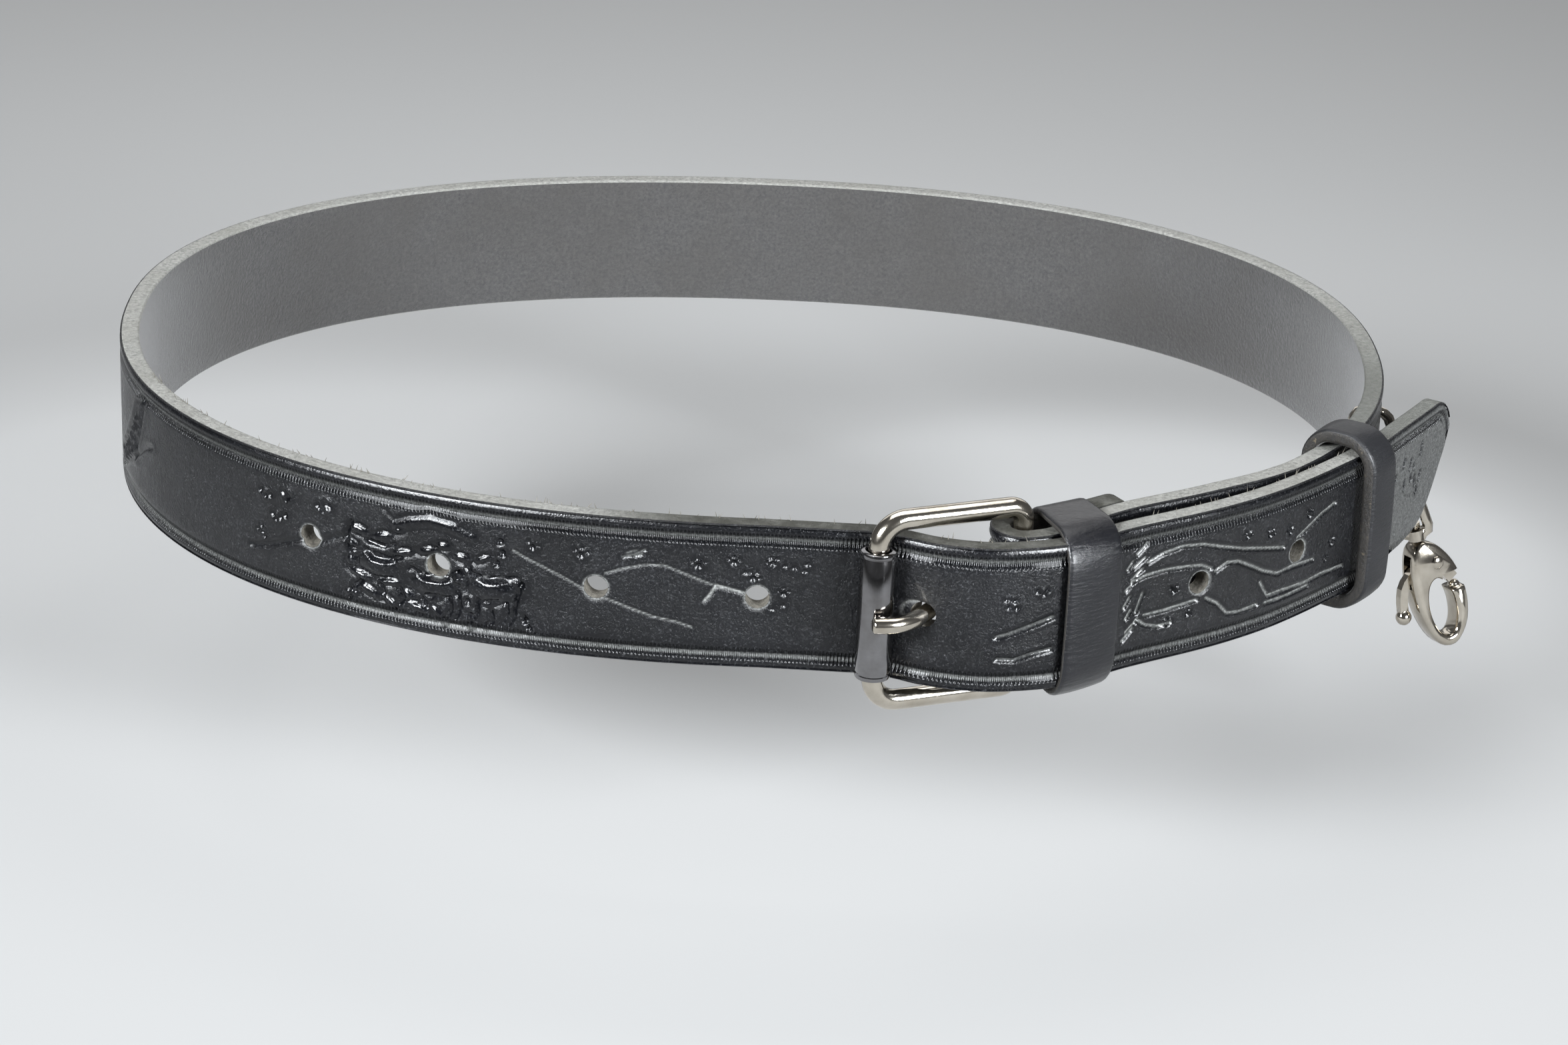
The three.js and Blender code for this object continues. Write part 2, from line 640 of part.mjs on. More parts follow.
function hookBodyGeometry() {
  const flat = ({ across, down }) => new THREE.Vector2(across, -down);
  const outline = new THREE.SplineCurve([...HOOK_OUTLINE, HOOK_OUTLINE[0]].map(flat));
  const shape = new THREE.Shape(outline.getPoints(44).slice(0, -1));
  const eye = new THREE.Path().absellipse(
    WINDOW.across, -WINDOW.down, WINDOW.halfWidth, WINDOW.halfHeight, 0, 2 * Math.PI, false, WINDOW.lean,
  );
  shape.holes.push(new THREE.Path(eye.getPoints(22).slice(0, -1)));
  const plate = new THREE.ExtrudeGeometry(shape, {
    depth: HOOK_THICK - 2 * HOOK_EDGE,
    bevelThickness: HOOK_EDGE,
    bevelSize: HOOK_EDGE,
    bevelOffset: -HOOK_EDGE,
    bevelSegments: 2,
  }).translate(0, 0, -(HOOK_THICK - 2 * HOOK_EDGE) / 2);
  const box = (left, right, top, bottom, deep) => new THREE.BoxGeometry(right - left, bottom - top, deep)
    .translate((left + right) / 2, -(top + bottom) / 2, 0);
  const slot = box(-SLOT.reach, SLOT.reach, SLOT.top, SLOT.bottom, SLOT_WIDTH);
  const mouth = box(MOUTH.left, SLOT.reach, MOUTH.top, HOOK_TIP.down, 2 * HOOK_THICK);
  const tip = new THREE.SphereGeometry(HOOK_TIP.radius, 12, 8).translate(HOOK_TIP.across, -HOOK_TIP.down, 0);
  const at = (across, down, out) => new THREE.Vector3(across, -down, out);
  const rivet = rod(
    at(RIVET.across, RIVET.down, -HOOK_THICK / 2), at(RIVET.across, RIVET.down, HOOK_THICK / 2), RIVET.radius, 12,
  );
  const heads = [-1, 1].map((side) => new THREE.SphereGeometry(RIVET_HEAD_RADIUS, 12, 8)
    .scale(1, 1, RIVET_HEAD_HEIGHT / RIVET_HEAD_RADIUS)
    .translate(RIVET.across, -RIVET.down, (side * HOOK_THICK) / 2));
  const headBase = BOSS_LENGTH + RUN_GAP;
  const pin = rod(at(0, PIN_ROOT, 0), at(0, -headBase - PIN_HEAD_LENGTH / 2, 0), PIN_RADIUS, 12);
  const head = rod(at(0, -headBase, 0), at(0, -headBase - PIN_HEAD_LENGTH, 0), PIN_HEAD_RADIUS, 12);
  return joined(cutBy(plate, slot, mouth), tip, rivet, ...heads, pin, head);
}

// The gate lever: one arm closes the hook's mouth, the other ends in a ball for the thumb
const GATE_ARM = [RIVET, { across: 3.9, down: 7.5 }, { across: 5.1, down: 9.65 }];
const THUMB_ARM = [
  RIVET, { across: -1.6, down: 5.7 }, { across: -4.6, down: 7.7 }, { across: -5.7, down: 10.4 }, THUMB_BALL,
];

function barAlong(route, width, thick) {
  const curve = new THREE.CatmullRomCurve3(route.map(({ across, down }) => new THREE.Vector3(across, -down, 0)));
  const section = new THREE.Shape([
    new THREE.Vector2(-thick / 2, -width / 2), new THREE.Vector2(thick / 2, -width / 2),
    new THREE.Vector2(thick / 2, width / 2), new THREE.Vector2(-thick / 2, width / 2),
  ]);
  const points = curve.getSpacedPoints(10);
  const out = new THREE.Vector3(0, 0, 1);
  const rings = points.map((point, i) => {
    const along = points[Math.min(i + 1, points.length - 1)].clone().sub(points[Math.max(i - 1, 0)]).normalize();
    const side = new THREE.Vector3().crossVectors(along, out).normalize();
    return section.getPoints().slice(0, 4).map((corner) => point.clone()
      .addScaledVector(out, corner.x).addScaledVector(side, corner.y));
  });
  return loft(rings, false);
}

function gateLeverGeometry() {
  const at = (out) => new THREE.Vector3(RIVET.across, -RIVET.down, out);
  const hubRadius = RIVET.radius + RUN_GAP + HUB_WALL;
  const hub = rod(at(-LEVER_THICK / 2), at(LEVER_THICK / 2), hubRadius, 14);
  const bore = rod(at(-LEVER_THICK), at(LEVER_THICK), RIVET.radius + RUN_GAP, 12);
  const ball = new THREE.SphereGeometry(THUMB_BALL.radius, 12, 8).translate(THUMB_BALL.across, -THUMB_BALL.down, 0);
  const gateArm = barAlong(GATE_ARM, GATE_BAR, LEVER_THICK);
  const thumbArm = barAlong(THUMB_ARM, THUMB_BAR, LEVER_THICK);
  return cutBy(joined(hub, gateArm, thumbArm, ball), bore);
}

function piece(name, geometry, material) {
  const mesh = new THREE.Mesh(geometry, material);
  mesh.name = name;
  return mesh;
}

function buckleGroup() {
  const basis = buckleBasis();
  const group = new THREE.Group();
  group.applyMatrix4(basis.matrix);
  group.add(piece('buckle_frame', frameGeometry(basis), NICKEL));
  group.add(piece('roller', rollerGeometry(), NICKEL));
  return group;
}

function hookGroup(basis) {
  const group = new THREE.Group();
  group.applyMatrix4(basis.matrix);
  group.add(piece('hook_body', hookBodyGeometry(), NICKEL));
  group.add(piece('gate_lever', gateLeverGeometry(), NICKEL));
  return group;
}

function belt() {
  const hook = hookBasis();
  const group = new THREE.Group();
  group.add(piece('strap', strapGeometry(), LEATHER));
  group.add(piece('keeper_fixed', keeperGeometry(KEEPER_FIXED, fixedInnerFace, tailLift), KEEPER_LEATHER));
  group.add(piece('keeper_free', keeperGeometry(KEEPER_FREE, freeInnerFace, tailLift), KEEPER_LEATHER));
  group.add(piece('tongue', tongueGeometry(), NICKEL));
  group.add(piece('swivel_eye', eyeGeometry(hook), NICKEL));
  group.add(buckleGroup());
  group.add(hookGroup(hook));
  return group;
}

export default belt();
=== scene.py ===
import math

import bmesh
import bpy
import numpy as np
from mathutils import Matrix, Vector


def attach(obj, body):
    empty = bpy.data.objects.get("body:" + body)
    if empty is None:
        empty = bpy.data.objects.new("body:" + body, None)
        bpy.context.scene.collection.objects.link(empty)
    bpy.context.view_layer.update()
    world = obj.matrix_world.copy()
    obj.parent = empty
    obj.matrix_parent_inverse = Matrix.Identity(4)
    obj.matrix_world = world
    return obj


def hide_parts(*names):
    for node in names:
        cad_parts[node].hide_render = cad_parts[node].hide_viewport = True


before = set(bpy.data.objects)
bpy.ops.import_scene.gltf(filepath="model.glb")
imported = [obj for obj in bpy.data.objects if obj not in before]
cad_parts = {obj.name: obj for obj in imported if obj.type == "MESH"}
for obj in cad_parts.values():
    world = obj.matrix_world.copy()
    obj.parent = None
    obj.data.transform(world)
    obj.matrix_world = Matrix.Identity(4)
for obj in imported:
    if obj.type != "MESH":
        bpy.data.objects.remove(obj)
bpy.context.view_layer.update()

# Tooled leather belt, fastened in a loop. Sizes are in millimetres until a mesh is filled.
# A place on it is an arc along the waist line from the frontmost point, a lift outwards from the
# single strap's outer face, and a height above mid-height.
MM = 0.001

# The waist line
WAIST_LEFT = 117.5
WAIST_RIGHT = 113.0
WAIST_FRONT = 94.5
WAIST_BACK = 88.0
WAIST_SQUARENESS = 2.2
WAIST_TURN = math.radians(1.4)

# The strap
STRAP_HALF_WIDTH = 12.7
STRAP_THICK = 3.5
STRAP_CORNER = 0.4
HOLE_RADIUS = 2.0
SHARP_TURN = math.radians(50)
MAP_SCALE = 0.01
FRONT_HOLES = [-73, -48.5, -21.5, 5]
TAIL_HOLES = [56, 79, 101.5]
TONGUE_HOLE = 31
TAIL_LEAVES = 128
TAIL_END = 155
FRONT_START = -215
FRONT_END = 22
BORDER_LINE = 2.5

# The buckle
WIRE = 3.5
LAYER_GAP = 0.3
FRAME_HEIGHT = 35.6
FRAME_CORNER = 4.6
FRAME_HEEL_CORNER = 2.6
ROLLER_ARC = 23.7
ROLLER_LIFT = 5.2
ROLLER_DIAMETER = 6
ROLLER_LENGTH = 22.6
HEEL_ARC = 48.2
HEEL_LIFT = 0.5
TONGUE_WIRE = 2.8
TONGUE_LOOP_WIRE = 2.2
TONGUE_SLOT = 3.6
FOLD_RADIUS = WIRE / 2 + LAYER_GAP + STRAP_THICK / 2
TURN_BACK_END = 71

# The keepers, and the strap's hole for the hook's eye
KEEPER_BOW = 0.5
FIXED_BAND = {
    "start": 52.2, "end": 62.2, "wall": 1.3, "stand_off": 0.3, "slack": 0.4, "lean": 0.0, "sweep": -1.1,
    "dome": 0.1, "droop": 1.2, "front_corner": 4.6, "back_corner": 4.4,
}
FREE_BAND = {
    "start": 116.8, "end": 124.0, "wall": 2.2, "stand_off": 1.0, "slack": 0.9, "lean": -0.6, "sweep": 0.0,
    "dome": 0.9, "droop": 0.0, "front_corner": 3.2, "back_corner": 3.2,
}
HOOK_ARC = 155
HOOK_HOLE_HEIGHT = 7.6
FIBRES = 110

TAIL_LIFTS = [
    (6, 0), (14, 0.5), (20, 1.1), (24, 1.6), (28, 3.6), (33, 6.8), (40, 9.5), (46, 10.2), (52, 10.0),
    (58, 8.3), (65, 6.3), (73, 5.3), (84, 4.8), (95, 4.5), (104, 4.3), (112, 4.5), (120, 5.2), (128, 6.0),
    (134, 6.2),
]
INNER_LIFTS = [
    (48.2, 6.1), (52, 5.6), (57, 3.3), (63, 0.4), (69, -1.1), (75, -1.6), (84, -1.6), (91, -1.3), (98, -0.6),
    (106, 0),
]
TURN_BACK_LIFTS = [(48.2, -1.6), (53, -1.8), (58, -2.6), (63, -4.0), (68, -5.1), (71, -5.4)]
TONGUE_ROUTE = [(44.8, 0.4), (39, 0.6), (34.6, 2.0), (31.6, 5.4), (29.2, 8.2), (26.2, 9.85), (22.6, 10.1)]

# Distance back from the tail's end, and the heights of its upper and lower edges there
TIP_OUTLINE = [
    (27, 12.7, -12.7), (23, 12.7, -11.2), (17.3, 12.7, -10.7), (13.2, 12.7, -10), (10.3, 12.7, -9),
    (8, 12.7, -7.4), (5.3, 12.7, -3.9), (3.1, 12, -0.2), (1.2, 10.4, 3), (0, 8.6, 6.2),
]


# Camera, floor and light


def aim_camera():
    pitch = math.radians(23.0)
    roll = math.radians(-2.6)
    aim = Vector((0.0049, 0, -0.0266))
    away = 0.723
    ahead = Vector((0, math.cos(pitch), -math.sin(pitch)))
    right = Vector((1, 0, 0))
    up = right.cross(ahead)
    turned_right = math.cos(roll) * right - math.sin(roll) * up
    turned_up = math.sin(roll) * right + math.cos(roll) * up
    data = bpy.data.cameras.new("camera")
    data.lens = 88.16
    data.sensor_width = 36.0
    data.clip_start = 0.01
    camera = bpy.data.objects.new("camera", data)
    place = Matrix((turned_right, turned_up, -ahead)).transposed().to_4x4()
    place.translation = aim - away * ahead
    camera.matrix_world = place
    bpy.context.scene.collection.objects.link(camera)
    bpy.context.scene.camera = camera


def lay_floor():
    bm = bmesh.new()
    bmesh.ops.create_grid(bm, x_segments=1, y_segments=1, size=4.0)
    bmesh.ops.translate(bm, verts=bm.verts, vec=(0, 0, -0.062))
    mesh = bpy.data.meshes.new("floor")
    bm.to_mesh(mesh)
    bm.free()
    floor = bpy.data.objects.new("floor", mesh)
    bpy.context.scene.collection.objects.link(floor)
    pale = bpy.data.materials.new("pale_floor")
    pale.use_nodes = True
    shader = pale.node_tree.nodes["Principled BSDF"]
    shader.inputs["Base Color"].default_value = (0.25, 0.25, 0.248, 1)
    shader.inputs["Roughness"].default_value = 0.9
    shader.inputs["Specular IOR Level"].default_value = 0.1
    mesh.materials.append(pale)


def hang_light(name, place, target, wide, high, power, tint=(1, 1, 1), spread=180):
    data = bpy.data.lights.new(name, "AREA")
    data.shape = "RECTANGLE"
    data.size = wide
    data.size_y = high
    data.energy = power
    data.color = tint
    data.spread = math.radians(spread)
    light = bpy.data.objects.new(name, data)
    light.location = place
    light.rotation_euler = (Vector(target) - Vector(place)).to_track_quat("-Z", "Y").to_euler()
    bpy.context.scene.collection.objects.link(light)


def light_studio():
    """Two softboxes in front, high on the left and right, a wide one overhead and one behind."""
    view = bpy.context.scene.view_settings
    view.view_transform = "Standard"
    world = bpy.data.worlds.new("studio")
    world.use_nodes = True
    sky = world.node_tree.nodes["Background"]
    sky.inputs["Color"].default_value = (0.97, 0.98, 1.0, 1)
    sky.inputs["Strength"].default_value = 0.12
    bpy.context.scene.world = world
    cool = (0.93, 0.965, 1.0)
    hang_light("left_softbox", (-0.85, -0.92, 0.61), (-0.05, -0.09, 0), 0.7, 0.34, 5.6, cool, 50)
    hang_light("right_softbox", (0.86, -0.9, 0.46), (0.05, -0.09, 0), 0.46, 0.44, 4.6, cool, 50)
    hang_light("top_softbox", (0.0, 0.25, 1.25), (0, 0, 0), 1.3, 1.0, 11)
    hang_light("back_softbox", (0.0, 1.5, 0.75), (0, 0, 0), 2.4, 1.0, 8)


# Places on the belt


def waist_table():
    turn = np.linspace(-math.pi, math.pi, 1441)
    c = np.cos(turn)
    s = np.sin(turn)
    power = 2 / WAIST_SQUARENESS
    x = np.sign(c) * np.where(c < 0, WAIST_LEFT, WAIST_RIGHT) * np.abs(c) ** power
    y = np.sign(s) * np.where(s < 0, WAIST_FRONT, WAIST_BACK) * np.abs(s) ** power
    points = np.stack([
        x * math.cos(WAIST_TURN) - y * math.sin(WAIST_TURN),
        x * math.sin(WAIST_TURN) + y * math.cos(WAIST_TURN),
    ], axis=1)
    steps = np.linalg.norm(np.diff(points, axis=0), axis=1)
    arcs = np.concatenate([[0], np.cumsum(steps)])
    return points, arcs


WAIST_POINTS, WAIST_ARCS = waist_table()
LOOP = WAIST_ARCS[-1]
FRONT_ARC = WAIST_ARCS[np.argmin(WAIST_POINTS[:, 1])]


def waist_point(arc):
    along = np.mod(np.asarray(arc, float) + FRONT_ARC, LOOP)
    return np.stack([np.interp(along, WAIST_ARCS, WAIST_POINTS[:, k]) for k in (0, 1)], axis=-1)


def on_waist(arc, lift):
    """A point in plan, lifted outwards from the waist line."""
    arc = np.asarray(arc, float)
    along = waist_point(arc + 0.5) - waist_point(arc - 0.5)
    along = along / np.linalg.norm(along, axis=-1, keepdims=True)
    outward = np.stack([along[..., 1], -along[..., 0]], axis=-1)
    return waist_point(arc) + outward * np.asarray(lift, float)[..., None]


def smooth_between(rows, at):
    """A smooth value from rows of (place, value), level before the first and after the last."""
    places = np.array([row[0] for row in rows], float)
    values = np.array([row[1] for row in rows], float)
    at = np.clip(np.asarray(at, float), places[0], places[-1])
    k = np.clip(np.searchsorted(places, at, side="left") - 1, 0, len(rows) - 2)
    before = np.maximum(k - 1, 0)
    after = np.minimum(k + 2, len(rows) - 1)
    span = places[k + 1] - places[k]
    t = (at - places[k]) / span
    slope_a = (values[k + 1] - values[before]) / (places[k + 1] - places[before]) * span
    slope_b = (values[after] - values[k]) / (places[after] - places[k]) * span
    return (
        (2 * t**3 - 3 * t**2 + 1) * values[k] + (t**3 - 2 * t**2 + t) * slope_a
        + (3 * t**2 - 2 * t**3) * values[k + 1] + (t**3 - t**2) * slope_b
    )


def tail_lift(arc):
    return smooth_between(TAIL_LIFTS, arc)


def inner_lift(arc):
    return smooth_between(INNER_LIFTS, arc)


def turn_back_lift(arc):
    return smooth_between(TURN_BACK_LIFTS, arc)


def tail_point(arc, depth):
    """A point in plan below the tail's outer face, straight past where the tail leaves the waist."""
    arc = np.asarray(arc, float)
    start = on_waist(TAIL_LEAVES, tail_lift(TAIL_LEAVES))
    along = start - on_waist(TAIL_LEAVES - 2, tail_lift(TAIL_LEAVES - 2))
    along = along / np.linalg.norm(along)
    outward = np.array([along[1], -along[0]])
    straight = start + np.maximum(arc - TAIL_LEAVES, 0)[..., None] * along - depth * outward
    held = on_waist(np.minimum(arc, TAIL_LEAVES), tail_lift(np.minimum(arc, TAIL_LEAVES)) - depth)
    return np.where((arc > TAIL_LEAVES)[..., None], straight, held)


def placed(arc, lift, height):
    spot = on_waist(arc, lift)
    height = np.broadcast_to(np.asarray(height, float), spot.shape[:-1])
    return np.concatenate([spot, height[..., None]], axis=-1)


# Meshes


def new_object(name, mesh):
    piece = bpy.data.objects.new(name, mesh)
    bpy.context.scene.collection.objects.link(piece)
    return piece


def grid_mesh(name, places, slots=None, layers=None, flat_map=None):
    """A grid of rows by columns, each point moved to its place in millimetres."""
    rows, columns = places.shape[:2]
    bm = bmesh.new()
    bmesh.ops.create_grid(bm, x_segments=columns - 1, y_segments=rows - 1, size=1.0)
    mesh = bpy.data.meshes.new(name)
    bm.to_mesh(mesh)
    bm.free()
    start = np.empty(len(mesh.vertices) * 3, np.float32)
    mesh.vertices.foreach_get("co", start)
    start = start.reshape(-1, 3)
    row = np.rint((start[:, 1] + 1) / 2 * (rows - 1)).astype(int)
    column = np.rint((start[:, 0] + 1) / 2 * (columns - 1)).astype(int)
    spots = places[row, column] * MM
    corners = np.empty(len(mesh.loops), np.int32)
    mesh.loops.foreach_get("vertex_index", corners)
    if slots is not None:
        cell = column[corners].reshape(-1, 4).min(axis=1)
        mesh.polygons.foreach_set("material_index", np.asarray(slots, np.int32)[cell])
    if flat_map is not None:
        layer = mesh.uv_layers.new(name="strap_map")
        flat = flat_map[row, column][corners].astype(np.float32)
        layer.data.foreach_set("uv", flat.ravel())
    for key, values in (layers or {}).items():
        attribute = mesh.attributes.new(key, "FLOAT", "POINT")
        attribute.data.foreach_set("value", values[row, column].astype(np.float32))
    mesh.vertices.foreach_set("co", spots.astype(np.float32).ravel())
    return mesh


def close_up(bm, cap_ends=True):
    """Merge doubles, fill open ends and turn the faces outwards."""
    bmesh.ops.remove_doubles(bm, verts=bm.verts, dist=1e-6)
    if cap_ends:
        bmesh.ops.holes_fill(bm, edges=[edge for edge in bm.edges if edge.is_boundary], sides=0)
    bmesh.ops.recalc_face_normals(bm, faces=bm.faces)


def closed_skin(name, places, cap_ends=False, **details):
    """A grid whose first and last columns meet, and rows too unless its ends are capped."""
    mesh = grid_mesh(name, places, **details)
    bm = bmesh.new()
    bm.from_mesh(mesh)
    close_up(bm, cap_ends)
    for face in bm.faces:
        face.smooth = True
    bm.to_mesh(mesh)
    bm.free()
    mesh.set_sharp_from_angle(angle=SHARP_TURN)
    return new_object(name, mesh)


def smooth_route(points, count):
    """Points evenly along a smooth curve through the given ones."""
    knots = np.concatenate([2 * points[:1] - points[1:2], points, 2 * points[-1:] - points[-2:-1]])
    dense = []
    for a, b, c, d in zip(knots[:-3], knots[1:-2], knots[2:-1], knots[3:]):
        t = np.linspace(0, 1, 24, endpoint=False)[:, None]
        bend = (2 * a - 5 * b + 4 * c - d) * t**2 + (3 * b - a - 3 * c + d) * t**3
        dense.append(0.5 * (2 * b + (c - a) * t + bend))
    dense = np.concatenate([*dense, knots[-2:-1]])
    arcs = np.concatenate([[0], np.cumsum(np.linalg.norm(np.diff(dense, axis=0), axis=1))])
    even = np.linspace(0, arcs[-1], count)
    return np.stack([np.interp(even, arcs, dense[:, k]) for k in range(3)], axis=1)


def round_wire(route, radii, normal, sides=24, closed=False):
    """Circles along a route that lies in a plane with this normal."""
    ahead = np.gradient(route, axis=0)
    if closed:
        ahead[0] = ahead[-1] = route[1] - route[-2]
    ahead /= np.linalg.norm(ahead, axis=1, keepdims=True)
    normal = np.asarray(normal, float)
    side = np.cross(ahead, normal)
    side /= np.linalg.norm(side, axis=1, keepdims=True)
    turn = np.linspace(0, 2 * math.pi, sides + 1)
    radii = np.broadcast_to(np.asarray(radii, float), (len(route),))[:, None, None]
    ring = np.cos(turn)[None, :, None] * side[:, None, :] + np.sin(turn)[None, :, None] * normal
    return route[:, None, :] + radii * ring


def cylinder_between(start, end, radius, sides=32):
    bm = bmesh.new()
    start, end = Vector(start), Vector(end)
    length = (end - start).length
    bmesh.ops.create_cone(
        bm, cap_ends=True, segments=sides, radius1=radius * MM, radius2=radius * MM, depth=length * MM,
    )
    turn = (end - start).to_track_quat("Z", "Y").to_matrix().to_4x4()
    turn.translation = (start + end) / 2 * MM
    bmesh.ops.transform(bm, matrix=turn, verts=bm.verts)
    return bm


def cut(piece, cutters, raw):
    """Cut closed shapes out of a piece, and give the cut walls the raw material."""
    whole = bmesh.new()
    for cutter in cutters:
        part = bpy.data.meshes.new("cutter_part")
        cutter.to_mesh(part)
        cutter.free()
        whole.from_mesh(part)
        bpy.data.meshes.remove(part)
    mesh = bpy.data.meshes.new("cutters")
    whole.to_mesh(mesh)
    whole.free()
    mesh.materials.append(raw)
    tool = new_object("cutters", mesh)
    modifier = piece.modifiers.new("cut", "BOOLEAN")
    modifier.operation = "DIFFERENCE"
    modifier.solver = "EXACT"
    modifier.material_mode = "TRANSFER"
    modifier.object = tool
    depsgraph = bpy.context.evaluated_depsgraph_get()
    result = bpy.data.meshes.new_from_object(piece.evaluated_get(depsgraph))
    old = piece.data
    piece.modifiers.clear()
    piece.data = result
    bpy.data.meshes.remove(old)
    bpy.data.objects.remove(tool)
    bpy.data.meshes.remove(mesh)
    result.set_sharp_from_angle(angle=SHARP_TURN)


# Tooling pressed into the strap's face, in arc and height


def bell(x):
    return np.exp(-(x**2))


class Tooling:
    """Depth pressed in, polish, and wear with painted highlight of a face, at every point of its grid."""

    def __init__(self, arc, height):
        self.arc = arc
        self.height = height
        self.depth, self.polish, self.wear_and_highlight = np.zeros((3, *arc.shape))

    def press(self, near, depth, polish=0.0, wear_and_highlight=0.0):
        self.depth[near] += depth
        self.polish[near] = np.maximum(self.polish[near], polish)
        self.wear_and_highlight[near] = np.maximum(self.wear_and_highlight[near], wear_and_highlight)

    def off_line(self, points, reach):
        """The grid's points near a line, and how far off it they are."""
        points = np.asarray(points, float)
        low = points.min(axis=0) - reach
        high = points.max(axis=0) + reach
        near = (self.arc > low[0]) & (self.arc < high[0]) & (self.height > low[1]) & (self.height < high[1])
        spots = np.stack([self.arc[near], self.height[near]], axis=1)
        gap = np.full(len(spots), 1e9)
        for a, b in zip(points[:-1], points[1:]):
            span = b - a
            share = np.clip((spots - a) @ span / max(span @ span, 1e-9), 0, 1)
            gap = np.minimum(gap, np.linalg.norm(spots - a - share[:, None] * span, axis=1))
        return near, gap

    def off_spot(self, arc, height, reach):
        """The grid's points near a spot, and how far along and above it they are."""
        near = (np.abs(self.arc - arc) < reach) & (np.abs(self.height - height) < reach)
        return near, self.arc[near] - arc, self.height[near] - height

    def groove(self, points, wide, deep, polish, wear_and_highlight=0.0, lip=0.35):
        """A pressed line with a low raised lip on each side."""
        near, gap = self.off_line(points, 4 * wide + 0.6)
        shape = bell(gap / wide) - lip * bell((gap - 2.1 * wide) / wide)
        # The pale line down the groove is partly wear of the cut, partly painted glints along the tooled lines
        self.press(near, deep * shape, polish * bell(gap / (2.4 * wide)), wear_and_highlight * bell(gap / (0.6 * wide)))

    def grooves(self, lines, *values, **named):
        for line in lines:
            self.groove(line, *values, **named)

    def ridge(self, points, wide, rise):
        """A raised, polished line."""
        near, gap = self.off_line(points, 4 * wide)
        self.press(near, -rise * np.clip(1.25 - gap / wide, 0, 1), bell(gap / (1.6 * wide)))

    def mound(self, arc, height, long, tall, turn):
        """A low oval dome with a pressed line round it."""
        near, dx, dy = self.off_spot(arc, height, 1.7 * max(long, tall) + 0.5)
        lean = math.radians(turn)
        across = (dx * math.cos(lean) + dy * math.sin(lean)) / long
        up = (-dx * math.sin(lean) + dy * math.cos(lean)) / tall
        out = np.hypot(across, up)
        flank = np.clip((1 - out) / 0.7, 0, 1)
        rise = (0.08 + 0.34 * tall) * (0.8 * flank + 0.2 * flank**2 * (3 - 2 * flank))
        self.press(near, 0.16 * bell((out - 1.05) * tall / 0.26) - rise, np.clip(1.6 - out, 0, 1))

    def dints(self, spots, size, deep, polish=0.9):
        """Small pressed spots with a low rim."""
        for arc, height in spots:
            near, dx, dy = self.off_spot(arc, height, 4 * size)
            gap = np.hypot(dx, dy) / size
            self.press(near, deep * (bell(gap) - 0.5 * bell((gap - 1.9) / 0.8)), polish * bell(gap / 2.2))

    def track(self, arc, height, size, turn, toes=3):
        """A paw mark: a pad and its toes."""
        self.dints([(arc, height)], 0.5 * size, 0.3)
        lean = math.radians(turn)
        turns = [math.radians(-55 + 110 * k / max(toes - 1, 1)) + lean for k in range(toes)]
        reach = 1.25 * size
        spots = [(arc + reach * math.sin(a), height + reach * math.cos(a)) for a in turns]
        self.dints(spots, 0.3 * size, 0.26)

    def press_border(self, to_edge):
        """The creased border line and the rounded rim outside it, with a painted highlight along the line."""
        off_line = to_edge - BORDER_LINE
        crease = 0.6 * np.clip(1 - np.abs(off_line) / 1.25, 0, 1) ** 1.25
        rim = 0.45 * np.clip(1 - to_edge / 0.95, 0, 1) ** 1.6
        polish = np.maximum(bell(off_line / 1.5), 0.8 * bell(to_edge / 1.4))
        # The pale line along the crease is a painted highlight of the glossy border bead
        self.press(..., crease + rim, polish, 0.4 * bell((off_line + 0.2) / 0.3))

    def punch_rim(self, arc):
        gap = np.hypot(self.arc - arc, self.height) - HOLE_RADIUS
        self.press(..., 0.25 * bell(gap / 0.4), 0.0, 0.7 * bell(gap / 0.22))


def tool_mountain(t):
    """A steep peak with strokes down its face, on the left side."""
    foot = [(-117.5, 2), (-120, 1.2), (-123, -0.5), (-127, -3.2), (-131, -5), (-136, -8), (-142, -10)]
    t.groove(foot, 0.5, 0.4, 0.6)
    t.groove([(-121, 9.3), (-122.5, 6), (-124.5, 1.5), (-127, -3)], 0.6, 0.5, 0.6)
    t.groove([(-121.5, 9.5), (-125, 8), (-128, 3.5), (-133, -1.5), (-139, -6)], 0.5, 0.4, 0.6)
    strokes = [
        ((-124.6, 7.6), (-125.4, 2.6)), ((-125.8, 3.4), (-126.6, -1)), ((-127.2, 3), (-128.4, -2.5)),
        ((-129, 1), (-130.2, -3.6)), ((-131, -0.6), (-132, -4.8)), ((-133.4, -2.2), (-134.2, -6)),
        ((-136, -4.2), (-136.6, -7.6)),
    ]
    t.grooves(strokes, 0.45, 0.4, 0.6)


def tool_left_tracks(t):
    upper = [(-83.6, 5.7), (-82.6, 5.0), (-81.6, 5.3), (-80.9, 2.1), (-80.2, 1.4), (-79.2, 1.9), (-78.2, 2.5)]
    t.dints(upper, 0.42, 0.32)
    t.dints([(-84.4, -1.6), (-83.6, -0.9), (-83.2, -1.8), (-82.8, -2.6)], 0.36, 0.24)
    near_hole = [(-78.3, 6.6), (-77.4, 6.2), (-77.9, 5.6), (-71.1, 6.2), (-70.2, 5.6), (-69.9, 6.6), (-69.0, 6.4)]
    t.dints(near_hole, 0.5, 0.36)
    t.groove([(-86, -5), (-82, -3.9), (-78, -2.3), (-74, -0.8), (-70.5, -0.1), (-66.5, 1.6)], 0.5, 0.3, 0.5)


